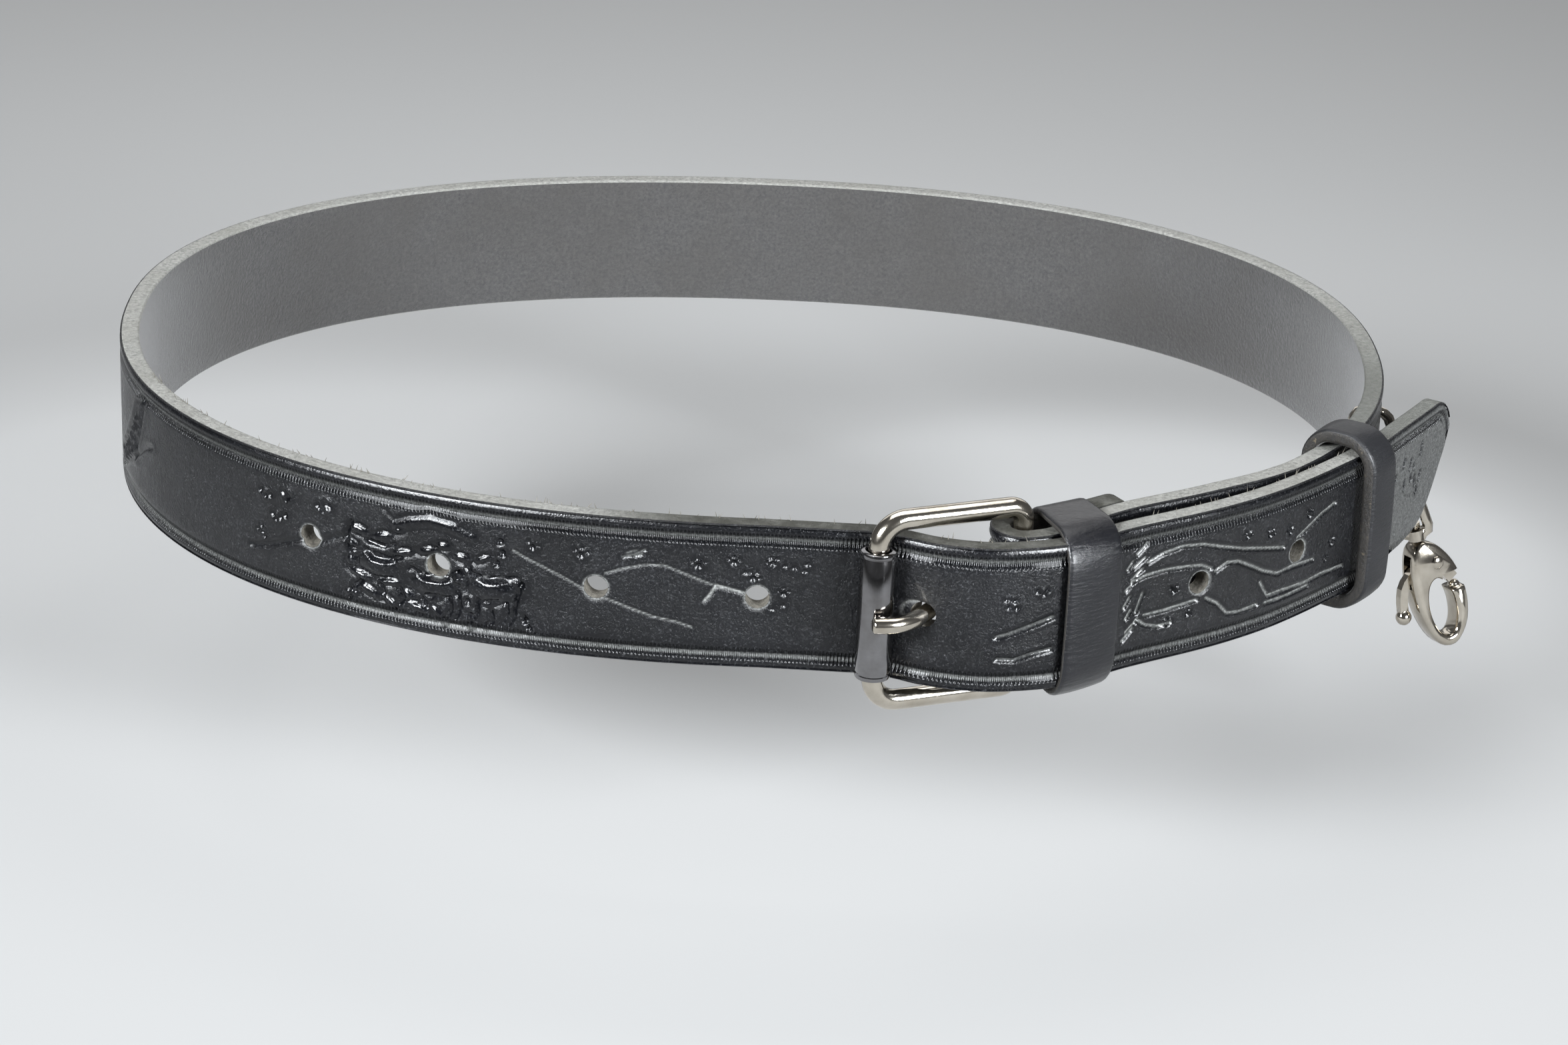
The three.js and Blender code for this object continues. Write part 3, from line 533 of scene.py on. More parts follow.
def tool_herd(t):
    """Grazing animals in a close group below a hill."""
    t.ridge([(-56.0, 5.6), (-53.5, 6.8), (-50, 7.6), (-46.5, 7.2), (-42.4, 6.0)], 0.85, 0.42)
    t.groove([(-58.5, 8.4), (-56.6, 6.9), (-54, 8.1), (-50, 9.0), (-45.5, 8.5)], 0.35, 0.2, 0.2)
    mounds = [
        (-63.2, 3.6, 2.3, 1.0, -14), (-58.8, 3.3, 2.2, 0.9, 14), (-55.6, 4.9, 1.2, 0.7, 20),
        (-64.4, 1.0, 1.6, 0.8, -28), (-59.6, -2.0, 3.9, 2.1, -5), (-64.6, -2.2, 1.3, 1.2, 40),
        (-55.0, 1.2, 2.4, 0.8, 12), (-49.2, -3.7, 4.6, 1.9, 3), (-50.4, 2.3, 1.9, 0.9, 16),
        (-47.6, 3.7, 1.5, 0.8, 0), (-44.2, 2.2, 1.8, 0.8, -6), (-40.6, 2.5, 1.9, 0.7, 26),
        (-38.6, -2.8, 4.4, 2.2, 2), (-44.6, -2.0, 1.3, 1.6, 25), (-62.8, -4.4, 2.4, 0.8, -14),
        (-57.4, -4.6, 2.2, 0.8, 6), (-61.0, -7.0, 2.6, 1.0, -22), (-64.6, -8.1, 1.8, 0.7, 4),
        (-57.0, -8.2, 2.1, 0.9, -30), (-53.6, -6.2, 1.5, 0.8, -40), (-52.0, -8.2, 2.3, 0.9, -14),
        (-49.2, -5.9, 1.9, 0.7, 10), (-48.6, -8.3, 1.5, 0.8, -40), (-39.0, -5.2, 2.0, 0.6, 14),
    ]
    for mound in mounds:
        t.mound(*mound)
    backs = [
        [(-62, 0.5), (-60, -0.5), (-57.2, -0.6), (-55.4, 0.2)],
        [(-53.4, -1.2), (-51, -2.2), (-47, -2.0), (-44.8, -0.4)],
        [(-42.8, -0.2), (-40, -0.9), (-37, -0.5), (-34.8, 0.0), (-33.8, -1.0)],
    ]
    t.grooves(backs, 0.4, 0.34, 0.8)
    legs = [
        [(-34.2, -1.4), (-34.8, -4.4), (-35.2, -7), (-36.6, -9.2)], [(-36.4, -5), (-36.2, -7), (-37.6, -9)],
        [(-41.5, -5), (-41.4, -7), (-42.6, -9.4)], [(-39, -6.6), (-38.8, -8.4), (-40, -9.2)],
        [(-46.4, -5.4), (-46, -7.4), (-47.2, -9.4)], [(-45, -4), (-44.4, -6.4), (-45.2, -8.8)],
        [(-51.2, -6.4), (-50.6, -7.6)], [(-55.4, -5.4), (-54.8, -7), (-56.2, -9.2)], [(-59, -5.4), (-58.4, -6.8)],
        [(-62.6, -5.6), (-64.2, -6.8), (-64.8, -9)], [(-33.4, -6.6), (-32.4, -8.6)],
        [(-64.6, 4.8), (-65.6, 2.6), (-64.8, -0.4)], [(-61.4, 2.0), (-58.4, 1.6), (-56.4, 2.4)],
    ]
    t.grooves(legs, 0.36, 0.36, 0.9)
    spots = [
        (-37.6, 6.2), (-37.2, 4.2), (-38.2, 2.2), (-43.0, 0.6), (-44.4, -0.4), (-44.6, -2.6), (-33, -7.4),
        (-32.6, -8.8), (-33.8, -1.1), (-43.2, -5.4), (-42.6, -7.8), (-64.0, 0.2),
    ]
    t.dints(spots, 0.48, 0.34, 1.0)


def tool_open_ground(t):
    """Worn trail and hill lines with tracks along the top, up to the buckle."""
    trail = [(-35.5, 5.0), (-33.5, 4.0), (-30, 2.6), (-27, 1.3), (-23.8, -0.3)]
    onward = [(-19.8, -1.7), (-16, -3.0), (-12, -4.3), (-8, -5.0), (-5.5, -5.8)]
    hill = [(-20, 2.7), (-17.5, 3.7), (-14, 4.7), (-10.5, 5.0), (-7, 3.7), (-3, 2.2), (0, 1.5), (2.5, 0.8)]
    t.grooves((trail, onward, hill), 0.2, 0.16, 0.3, 0.5)
    t.groove([(-1.8, 1.9), (-2.6, 0.4), (-3.6, -1.0)], 0.34, 0.24, 0.4, 0.8)
    t.groove([(-1.6, 1.8), (0.2, 1.4), (2.6, 0.8)], 0.34, 0.2, 0.4, 0.8)
    tracks = [
        (-32.2, 6.0, 0.85, 20, 2), (-24.1, 5.6, 0.95, 10, 3), (-4.8, 5.3, 0.95, 0, 4), (1.0, 6.1, 0.85, 0, 3),
        (4.2, 3.4, 0.85, 30, 3), (7.4, 6.2, 0.8, -20, 3), (9.4, 0.9, 0.7, 0, 3),
    ]
    for track in tracks:
        t.track(*track)
    twigs = [[(-17.2, 5.9), (-15.4, 6.4), (-13.6, 7.4)], [(-16.6, 6.6), (-15, 7.2)], [(-15.2, 6.2), (-14, 6.6)]]
    t.grooves(twigs, 0.26, 0.2, 0.8, 0.3)
    t.dints([(9.4, 5.9), (11, 5.7), (12.6, 5.2), (13.2, 6.4), (9.3, -1.1), (7.6, -1.9), (2.9, 4.4)], 0.34, 0.24)


def tool_tail_near_buckle(t):
    t.groove([(42.3, -2.7), (44, -2.2), (46.5, -1.2), (50.5, 0.3)], 0.4, 0.32, 1.0, 0.3)
    t.groove([(42.5, -6.7), (45, -6.9), (47.5, -6.0), (50.5, -5.4)], 0.4, 0.32, 0.9, 0.2)
    t.dints([(43.4, 3.9), (44.6, 3.6), (43.8, 2.5), (44.9, 2.4), (48.0, 5.1), (48.9, 4.6), (49.4, 5.2)], 0.34, 0.26)


def tool_tail_hills(t):
    """A feathered branch in short strokes beside the keeper, then hills, water lines and small marks."""
    branch = [
        ((65.6, 7.8), (67.6, 9.4)), ((63.8, 5.4), (65.0, 6.8)), ((65.2, 5.5), (67.4, 7.0)),
        ((64.8, 3.4), (67.0, 5.0)), ((63.8, 1.6), (65.6, 3.2)), ((66.2, -2.8), (67.4, 0.6)),
        ((64.4, -6.0), (66.8, -3.9)), ((63.8, -7.4), (65.8, -5.5)), ((63.6, -1.4), (64.8, 0.4)),
        ((64.2, -3.6), (65.2, -2.0)),
    ]
    t.grooves(branch, 0.28, 0.28, 1.0, 0.7)
    lines = [
        [(68, 5.9), (71, 7), (75, 7.5), (79, 7), (84, 5.4), (88, 4.2), (93, 3), (97.5, 1.9)],
        [(65, 3), (68, 3.7), (72, 3.9), (76, 3.6), (79, 3.2), (81, 2.2)],
        [(82, 1.5), (84.5, 2.5), (87, 2.1), (90, 0.5), (93, -1.2), (96.5, -2.6), (100, -2.4), (106, -2.8)],
        [(68, -3.6), (72, -3.5), (76, -3.2), (78.5, -3)],
        [(80.5, -3.1), (83, -4.6), (85.3, -7), (88, -7.4), (92, -7.2)],
        [(92.4, -3.2), (93.6, -5), (94.5, -6.2), (98, -6.2), (104, -6.6), (109, -6.4), (115, -6.8)],
        [(94, -7.4), (99, -7.6), (105, -7.4)],
        [(101, 2.6), (104, 3.9), (107, 5.2), (111, 6.2)], [(66.5, -4), (68.5, -5.4), (71, -6.2), (73.5, -6)],
    ]
    t.grooves(lines, 0.32, 0.3, 0.9, 0.7)
    tracks = [
        (88.4, 6.3, 0.7, 20), (93.7, 5.2, 0.8, 30), (98.8, 4.3, 0.75, 0), (103.6, 6.0, 0.8, 30),
        (73.6, -0.4, 0.7, 30), (72.8, -6.2, 0.75, 0), (76.8, -5.2, 0.65, 60), (111, -1.4, 0.8, 10),
        (109.6, -4, 0.6, 0),
    ]
    for track in tracks:
        t.track(*track)


def tool_tail_end(t):
    """Slits near the free end, whose face is worn."""
    slits = [
        ((142.8, 7.2), (142.5, 5.4)), ((135.4, 6.2), (135.2, 5.1)), ((138.5, 5.2), (138.3, 3.6)),
        ((140.0, 4.0), (139.9, 3.2)), ((132.1, 4.1), (132.0, 2.8)), ((136.3, 1.9), (136.4, 0.3)),
        ((139.0, 2.3), (139.1, 1.3)), ((140.6, 1.6), (141.2, -0.3)), ((143.2, 1.6), (142.9, 0.2)),
        ((142.2, -1.0), (142.3, -2.1)),
    ]
    t.grooves(slits, 0.42, 0.5, 0.0, lip=0.1)
    t.press(..., 0.0, 0.0, 0.24 * np.clip((t.arc - 126) / 5, 0, 1) * np.clip(1 - t.depth / 0.2, 0, 1))
    t.groove([(131.5, 0.8), (136.2, -0.7), (140.8, -2.0), (142.3, -2.1)], 0.24, 0.2, 0.0, lip=0.1)
    t.groove([(133.2, -6.8), (134.0, -7.5)], 0.35, 0.3, 0.0, lip=0.1)


# The strap


def strap_columns(face_points, inner_points):
    """Round the strap's section: depth, share of the way up, and inset, with each column's slot."""
    corner = STRAP_CORNER
    quarter = np.linspace(0, math.pi / 2, 4)[1:-1]
    up = np.linspace(0, 1, face_points)
    rows = [(0.0, s, corner * (1 - 2 * s), 0) for s in up]
    rows += [(corner * (1 - math.cos(a)), 1.0, corner * (math.sin(a) - 1), 0) for a in quarter]
    rows += [(depth, 1.0, 0.0, 1) for depth in np.linspace(corner, STRAP_THICK - corner, 6)]
    rows += [(STRAP_THICK - corner * (1 - math.sin(a)), 1.0, corner * (math.cos(a) - 1), 1) for a in quarter]
    rows += [(STRAP_THICK, s, corner * (1 - 2 * s), 2) for s in np.linspace(1, 0, inner_points)]
    rows += [(STRAP_THICK - corner * (1 - math.cos(a)), 0.0, corner * (1 - math.sin(a)), 1) for a in quarter]
    rows += [(depth, 0.0, 0.0, 1) for depth in np.linspace(STRAP_THICK - corner, corner, 6)]
    rows += [(corner * (1 - math.sin(a)), 0.0, corner * (1 - math.cos(a)), 0) for a in quarter]
    rows.append(rows[0])
    depth, share, inset, slot = (np.array(values) for values in zip(*rows))
    return depth, share, inset, slot[:-1].astype(int)


def strap_stretch(name, arcs, middle, top, bottom, face_points, inner_points, tools=(), holes=(), plain_below=1e9):
    """One stretch of the strap along its mid-line in plan, with its tooling.

    The lower border line is left off past the arc plain_below.
    """
    depth, share, inset, slots = strap_columns(face_points, inner_points)
    ahead = np.gradient(middle, axis=0)
    ahead /= np.linalg.norm(ahead, axis=1, keepdims=True)
    outward = np.stack([ahead[:, 1], -ahead[:, 0]], axis=1)
    height = bottom[:, None] * (1 - share) + top[:, None] * share + inset
    arc = np.broadcast_to(arcs[:, None], height.shape)
    edge_up = np.gradient(top, arcs)
    edge_down = np.gradient(bottom, arcs)
    above = (top[:, None] - height) / np.sqrt(1 + edge_up**2)[:, None]
    below = (height - bottom[:, None]) / np.sqrt(1 + edge_down**2)[:, None]
    to_edge = np.minimum(above, below + 0.6 * np.maximum(arc - plain_below, 0))
    face = Tooling(arc, height)
    face.press_border(to_edge)
    for tool in tools:
        tool(face)
    for hole in holes:
        face.punch_rim(hole)
    on_face = np.arange(len(share)) < face_points
    on_face[-1] = True
    pressed = face.depth * on_face
    out = STRAP_THICK / 2 - depth[None, :] - pressed
    spots = middle[:, None, :] + out[..., None] * outward[:, None, :]
    places = np.concatenate([spots, height[..., None]], axis=2)
    layers = {"polish": np.clip(face.polish, 0, 1) * on_face, "wear_and_highlight": np.clip(face.wear_and_highlight, 0, 1) * on_face}
    return closed_skin(
        name, places, cap_ends=True, slots=slots, layers=layers,
        flat_map=np.stack([arc, height], axis=2) * MAP_SCALE,
    )


def level_edges(arcs):
    return np.full(len(arcs), STRAP_HALF_WIDTH), np.full(len(arcs), -STRAP_HALF_WIDTH)


def round_holes(arcs, point_at):
    """Cutters for the holes at mid-height, from inside the strap to outside it."""
    ends = [(point_at(arc, STRAP_THICK + 1), point_at(arc, -1)) for arc in arcs]
    return [cylinder_between((*inner, 0), (*outer, 0), HOLE_RADIUS) for inner, outer in ends]


def single_point(arc, depth):
    return on_waist(arc, -depth)


def make_front(leather):
    side = np.arange(FRONT_START, -110, 0.5)
    front = np.arange(-110, FRONT_END + 0.01, 0.25)
    arcs = np.concatenate([side, front])
    middle = on_waist(arcs, tail_lift(arcs) - STRAP_THICK / 2)
    top, bottom = level_edges(arcs)
    piece = strap_stretch(
        "strap_front", arcs, middle, top, bottom, 97, 7,
        tools=(tool_mountain, tool_left_tracks, tool_herd, tool_open_ground),
        holes=FRONT_HOLES,
    )
    dress(piece, leather["face"], leather["edge"], leather["flesh"])
    cut(piece, round_holes(FRONT_HOLES, single_point), leather["raw"])
    return piece


def make_tail(leather):
    arcs = np.concatenate([np.arange(FRONT_END, 152, 0.27), np.linspace(152, TAIL_END, 48)])
    middle = tail_point(arcs, STRAP_THICK / 2)
    back = TAIL_END - arcs
    rows = TIP_OUTLINE[::-1]
    top = smooth_between([(row[0], row[1]) for row in rows], back)
    bottom = smooth_between([(row[0], row[2]) for row in rows], back)
    piece = strap_stretch(
        "strap_tail", arcs, middle, top, bottom, 97, 7,
        tools=(tool_tail_near_buckle, tool_tail_hills, tool_tail_end),
        holes=TAIL_HOLES + [TONGUE_HOLE],
        plain_below=TAIL_LEAVES + 1,
    )
    dress(piece, leather["face"], leather["edge"], leather["flesh"])
    low, high = TONGUE_ROUTE[2], TONGUE_ROUTE[4]
    start = placed(*low, 0)
    end = placed(*high, 0)
    ahead = (end - start) / np.linalg.norm(end - start)
    tongue_hole = cylinder_between(start - 2 * ahead, end + 2 * ahead, HOLE_RADIUS + 0.15)
    cut(piece, round_holes(TAIL_HOLES, tail_point) + [tongue_hole], leather["raw"])
    return piece


def make_loop(leather):
    """The turn-back, its fold round the heel bar, the inner layer and the single strap round the back."""
    half = STRAP_THICK / 2
    back_arcs = np.arange(TURN_BACK_END, HEEL_ARC + 0.4, -0.8)
    turn = -math.pi / 2 - np.linspace(0, math.pi, 22)
    inner_end = INNER_LIFTS[-1][0]
    inner_arcs = np.arange(HEEL_ARC + 1.2, inner_end, 1.2)
    round_arcs = np.arange(inner_end, LOOP + FRONT_START, 1.5)
    middle = np.concatenate([
        on_waist(back_arcs, turn_back_lift(back_arcs) - half),
        on_waist(HEEL_ARC + FOLD_RADIUS * np.cos(turn), HEEL_LIFT + FOLD_RADIUS * np.sin(turn)),
        on_waist(inner_arcs, inner_lift(inner_arcs) - half),
        on_waist(round_arcs, np.full(len(round_arcs), -half)),
        on_waist([LOOP + FRONT_START], [-half]),
    ])
    arcs = np.concatenate([[0], np.cumsum(np.linalg.norm(np.diff(middle, axis=0), axis=1))])
    arcs += LOOP + FRONT_START - arcs[-1]
    top, bottom = level_edges(arcs)
    to_end = arcs - arcs[0]
    rounding = 3.0
    cut_in = rounding * (1 - np.sqrt(np.clip(1 - np.clip(1 - to_end / rounding, 0, 1) ** 2, 0, 1)))
    piece = strap_stretch("strap_loop", arcs, middle, top - cut_in, bottom + cut_in, 65, 7)
    dress(piece, leather["face"], leather["edge"], leather["flesh"])
    eye_inner = placed(HOOK_ARC, -STRAP_THICK - 1, HOOK_HOLE_HEIGHT)
    eye_hole = cylinder_between(eye_inner, placed(HOOK_ARC, 1, HOOK_HOLE_HEIGHT), HOLE_RADIUS)
    cut(piece, [eye_hole, tongue_slot()], leather["raw"])
    return piece


def tongue_slot():
    """The slot for the tongue, through the fold and the turn-back."""
    left = HEEL_ARC - FOLD_RADIUS - STRAP_THICK
    right = HEEL_ARC + WIRE / 2 + TONGUE_WIRE + 0.6
    arcs = np.linspace(left, right, 6)
    low = np.full(6, HEEL_LIFT - FOLD_RADIUS - STRAP_THICK)
    high = inner_lift(arcs) + 0.1
    half = TONGUE_SLOT / 2
    ring = [placed(arcs, high, -half), placed(arcs, high, half), placed(arcs, low, half), placed(arcs, low, -half)]
    places = np.stack(ring + ring[:1], axis=1)
    bm = bmesh.new()
    mesh = grid_mesh("slot", places)
    bm.from_mesh(mesh)
    bpy.data.meshes.remove(mesh)
    close_up(bm)
    return bm


def make_fibres(material):
    """Loose fibres standing up from the cut upper edges."""
    random = np.random.default_rng(5)
    bm = bmesh.new()
    for _ in range(FIBRES):
        arc = random.uniform(-125, 118)
        depth = STRAP_THICK * random.uniform(0.75, 1.0)
        spot = tail_point(arc, depth) if arc > FRONT_END else on_waist(arc, tail_lift(arc) - depth)
        long = random.uniform(0.5, 1.3)
        lean = random.normal(0, 0.45, 2)
        ahead = Vector((lean[0], lean[1], 1.0)).normalized()
        turn = ahead.to_track_quat("Z", "Y").to_matrix().to_4x4()
        turn.translation = (Vector((*spot, STRAP_HALF_WIDTH - 0.15)) + ahead * long / 2) * MM
        bmesh.ops.create_cone(
            bm, cap_ends=True, segments=4, radius1=0.09 * MM, radius2=0.02 * MM, depth=long * MM, matrix=turn,
        )
    return finish_piece("edge_fibres", bm, material, angle=60)


# The keepers


def band_section(width, wall):
    """Round a band's own section, from its face's first corner: place across it and height above its inner face."""
    corner = 0.75
    quarter = np.linspace(0, math.pi / 2, 6)
    centres = [
        (width - corner, wall - corner, math.pi / 2), (width - corner, corner, 0.0),
        (corner, corner, -math.pi / 2), (corner, wall - corner, -math.pi),
    ]
    points = [(x, wall) for x in np.linspace(corner, width - corner, 17)[:-1]]
    for x, y, start in centres:
        points += [(x + corner * math.cos(start - a), y + corner * math.sin(start - a)) for a in quarter]
        if start == 0.0:
            points += [(px, 0.0) for px in np.linspace(width - corner, corner, 7)[1:-1]]
    points.append(points[0])
    across, above = (np.array(values) for values in zip(*points))
    crown = 0.18 * np.sin(np.pi * np.clip(across / width, 0, 1))
    return across, above + crown * (above > wall / 2)


def keeper_ring(band, low, high, grow, wide, sides):
    """Lifts and heights round the layers, for one growth and one pair of faces."""
    quarters = []
    for k in range(4):
        corner = band["front_corner"] if k in (0, 3) else band["back_corner"]
        lift = high - corner if k in (0, 3) else low + corner
        height = wide - corner if k < 2 else corner - wide
        turn = (k + np.linspace(0, 1, sides)) * (math.pi / 2)
        radius = corner + grow
        quarters.append(np.stack([lift + radius * np.cos(turn), height + radius * np.sin(turn)], axis=1))
    return np.concatenate(quarters + [quarters[0][:1]])


def slacken(band, lifts, heights, low, high, wide):
    """The leather bows out a little on the face and domes over the layers' edges."""
    middle = (low + high) / 2
    across = np.clip((lifts - middle) / ((high - low) / 2 + band["wall"]), -1, 1)
    up = np.clip(heights / (wide + band["wall"]), -1, 1)
    bowed = lifts + KEEPER_BOW * (1 - up**2) * np.clip(across, 0, 1) ** 2
    domed = heights + np.sign(heights) * band["dome"] * (1 - across**2) * np.abs(up) ** 3
    return bowed, domed - band["droop"] * np.clip(-up, 0, 1) ** 3


def keeper_band(name, band, inner_face):
    wall = band["wall"]
    wide = STRAP_HALF_WIDTH + band["slack"]
    across, above = band_section(band["end"] - band["start"], wall)
    arcs = band["start"] + across
    low = inner_face(arcs) - LAYER_GAP
    high = tail_lift(arcs) + band["stand_off"]
    rings = np.stack([keeper_ring(band, a, b, g, wide, 9) for a, b, g in zip(low, high, above)])
    sides = np.diff(rings, axis=1)
    long = np.linalg.norm(sides, axis=2)
    counts = np.where(long > 1.5, np.rint(long / 0.5), 1).max(axis=0).astype(int)
    rows = np.concatenate([
        rings[:, k, None] + sides[:, k, None] * np.linspace(0, 1, count, endpoint=False)[:, None]
        for k, count in enumerate(counts)
    ] + [rings[:, :1]], axis=1)
    lifts, heights = slacken(band, rows[..., 0], rows[..., 1], low[:, None], high[:, None], wide)
    lean = band["lean"] * (heights / STRAP_HALF_WIDTH)
    lean = lean + band["sweep"] * np.clip((high[:, None] - lifts) / (high - low)[:, None], 0, 1)
    places = placed(arcs[:, None] + lean, lifts, heights)
    around = np.concatenate([[0], np.cumsum(np.linalg.norm(np.diff(rows[0], axis=0), axis=1))])
    flat = np.stack(np.broadcast_arrays(across[:, None], around), axis=2) * MAP_SCALE
    middle = (above[:-1] + above[1:]) / 2
    slots = np.where(middle > wall - 0.25, 0, np.where(middle < 0.12, 2, 1))
    return closed_skin(name, places.transpose(1, 0, 2), slots=slots, flat_map=flat.transpose(1, 0, 2))


def fixed_inner_face(arc):
    return turn_back_lift(arc) - STRAP_THICK


def free_inner_face(arc):
    return np.full(np.shape(arc), -STRAP_THICK)


# Buckle and hook in metal


def buckle_plane():
    front = on_waist(ROLLER_ARC, ROLLER_LIFT)
    heel = on_waist(HEEL_ARC, HEEL_LIFT)
    along = heel - front
    length = np.linalg.norm(along)
    return front, along / length, length


def make_frame(metal):
    front, along, length = buckle_plane()
    high = (FRAME_HEIGHT - WIRE) / 2
    corners = [
        (length - FRAME_HEEL_CORNER, high - FRAME_HEEL_CORNER, FRAME_HEEL_CORNER, 0.0),
        (FRAME_CORNER, high - FRAME_CORNER, FRAME_CORNER, math.pi / 2),
        (FRAME_CORNER, FRAME_CORNER - high, FRAME_CORNER, math.pi),
        (length - FRAME_HEEL_CORNER, FRAME_HEEL_CORNER - high, FRAME_HEEL_CORNER, 1.5 * math.pi),
    ]
    points = []
    for x, z, radius, start in corners:
        turn = start + np.linspace(0, math.pi / 2, 13)
        points.append(np.stack([x + radius * np.cos(turn), z + radius * np.sin(turn)], axis=1))
    flat = np.concatenate([*points, points[0][:1]])
    route = np.stack([front[0] + flat[:, 0] * along[0], front[1] + flat[:, 0] * along[1], flat[:, 1]], axis=1)
    normal = (-along[1], along[0], 0.0)
    piece = closed_skin("frame_wire", round_wire(route, WIRE / 2, normal, 28, closed=True))
    dress(piece, metal)
    return piece


def make_roller(metal):
    """A rolled tube with a fine turned line near each end."""
    front, _, _ = buckle_plane()
    inner = WIRE / 2 + LAYER_GAP
    outer = ROLLER_DIAMETER / 2
    half = ROLLER_LENGTH / 2
    profile = [
        (inner, -half + 0.2), (inner + 0.2, -half), (outer - 0.45, -half), (outer - 0.12, -half + 0.14),
        (outer, -half + 0.45), (outer, -half + 0.8), (outer - 0.16, -half + 0.95), (outer - 0.16, -half + 1.1),
        (outer - 0.04, -half + 1.3),
    ]
    profile = profile + [(radius, -height) for radius, height in reversed(profile)]
    bm = bmesh.new()
    verts = [bm.verts.new(((front[0] + radius) * MM, front[1] * MM, height * MM)) for radius, height in profile]
    loop = [bm.edges.new(pair) for pair in zip(verts, verts[1:] + verts[:1])]
    bmesh.ops.spin(
        bm, geom=verts + loop, cent=(front[0] * MM, front[1] * MM, 0), axis=(0, 0, 1),
        angle=2 * math.pi, steps=72, use_merge=True,
    )
    close_up(bm, cap_ends=False)
    return finish_piece("roller_tube", bm, metal)


def finish_piece(name, bm, *materials, angle=35):
    for face in bm.faces:
        face.smooth = True
    mesh = bpy.data.meshes.new(name)
    bm.to_mesh(mesh)
    bm.free()
    mesh.set_sharp_from_angle(angle=math.radians(angle))
    piece = new_object(name, mesh)
    dress(piece, *materials)
    return piece


def make_tongue(metal):
    """Round wire: a ring on the heel bar and a shank bent over the roller, its end rounded."""
    route = smooth_route(placed(*zip(*TONGUE_ROUTE), 0), 90)
    radius = TONGUE_WIRE / 2
    to_tip = np.linalg.norm(route - route[-1], axis=1)
    blunt = 0.6
    radii = radius - blunt * (1 - np.sqrt(np.clip(1 - np.clip(1 - to_tip / blunt, 0, 1) ** 2, 0, 1)))
    shank = closed_skin("tongue_wire", round_wire(route, radii, (0, 0, 1), 28), cap_ends=True)
    centre = placed(HEEL_ARC, HEEL_LIFT, 0.0)
    turn = np.linspace(0, 2 * math.pi, 61)
    ring_radius = WIRE / 2 + LAYER_GAP + TONGUE_LOOP_WIRE / 2
    ring = centre + ring_radius * np.stack([np.cos(turn), np.sin(turn), np.zeros(61)], axis=1)
    loop = closed_skin("tongue_loop", round_wire(ring, TONGUE_LOOP_WIRE / 2, (0, 0, 1), 24, closed=True))
    for piece in (shank, loop):
        dress(piece, metal)
    return shank, loop


def copy_of_node(name, node, metal, angle=30):
    """A merged copy of a node's mesh, shaded smoothly across its shallow edges."""
    bm = bmesh.new()
    bm.from_mesh(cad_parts[node].data)
    bmesh.ops.remove_doubles(bm, verts=bm.verts, dist=1e-6)
    return finish_piece(name, bm, metal, angle=angle)


# Materials


def dress(piece, *materials):
    for material in materials:
        piece.data.materials.append(material)


class Finish:
    """A material's nodes, added one after another."""

    def __init__(self, name):
        self.material = bpy.data.materials.new(name)
        self.material.use_nodes = True
        self.tree = self.material.node_tree
        self.shader = self.tree.nodes["Principled BSDF"]
        self.where = self.tree.nodes.new("ShaderNodeTexCoord").outputs["Object"]

    def feed(self, socket, value):
        """Link another node's output to a socket, or set a plain value."""
        if isinstance(value, bpy.types.NodeSocket):
            self.tree.links.new(value, socket)
        else:
            socket.default_value = value

    def done(self, **values):
        """The material, once the shader's inputs are fed."""
        for key, value in values.items():
            self.feed(self.shader.inputs[key.replace("_", " ")], value)
        return self.material

    def node(self, kind, inputs, **settings):
        node = self.tree.nodes.new(kind)
        for key, value in settings.items():
            setattr(node, key, value)
        for key, value in inputs.items():
            self.feed(node.inputs[key], value)
        return node

    def noise(self, size, detail=3.0, rough=0.55, stretch=(1, 1, 1), where=None, distort=0.0):
        """Cloudy noise with spots of about this size in metres."""
        spread = self.node("ShaderNodeMapping", {0: where or self.where, "Scale": stretch}).outputs[0]
        inputs = {"Vector": spread, "Scale": 1 / size, "Detail": detail, "Roughness": rough, "Distortion": distort}
        return self.node("ShaderNodeTexNoise", inputs).outputs["Fac"]

    def cells(self, size):
        inputs = {"Vector": self.where, "Scale": 1 / size, "Randomness": 1.0}
        return self.node("ShaderNodeTexVoronoi", inputs, feature="DISTANCE_TO_EDGE").outputs["Distance"]

    def math(self, operation, a, b=0.0):
        return self.node("ShaderNodeMath", {0: a, 1: b}, operation=operation).outputs[0]

    def times(self, a, b):
        return self.math("MULTIPLY", a, b)

    def span(self, value, low, high, to_low, to_high):
        inputs = {"Value": value, "From Min": low, "From Max": high, "To Min": to_low, "To Max": to_high}
        return self.node("ShaderNodeMapRange", inputs).outputs["Result"]

    def blend(self, share, first, second):
        # The colour sockets of this node come after those for numbers and vectors
        return self.node("ShaderNodeMix", {0: share, 6: first, 7: second}, data_type="RGBA").outputs[2]

    def grade(self, value, low, high, first, second, most=1.0):
        """From the first colour towards the second while the value goes from low to high."""
        return self.blend(self.span(value, low, high, 0, most), first, second)

    def bump(self, height, distance, strength, below=None):
        inputs = {"Height": height, "Distance": distance, "Strength": strength}
        if below is not None:
            inputs["Normal"] = below
        return self.node("ShaderNodeBump", inputs).outputs["Normal"]

    def attribute(self, name):
        return self.node("ShaderNodeAttribute", {}, attribute_name=name).outputs["Fac"]

    def strap_place(self):
        """Arc and height on the strap, a hundredth of their millimetres."""
        where = self.node("ShaderNodeUVMap", {}, uv_map="strap_map").outputs[0]
        parts = self.node("ShaderNodeSeparateXYZ", {0: where}).outputs
        return where, parts[0], parts[1]


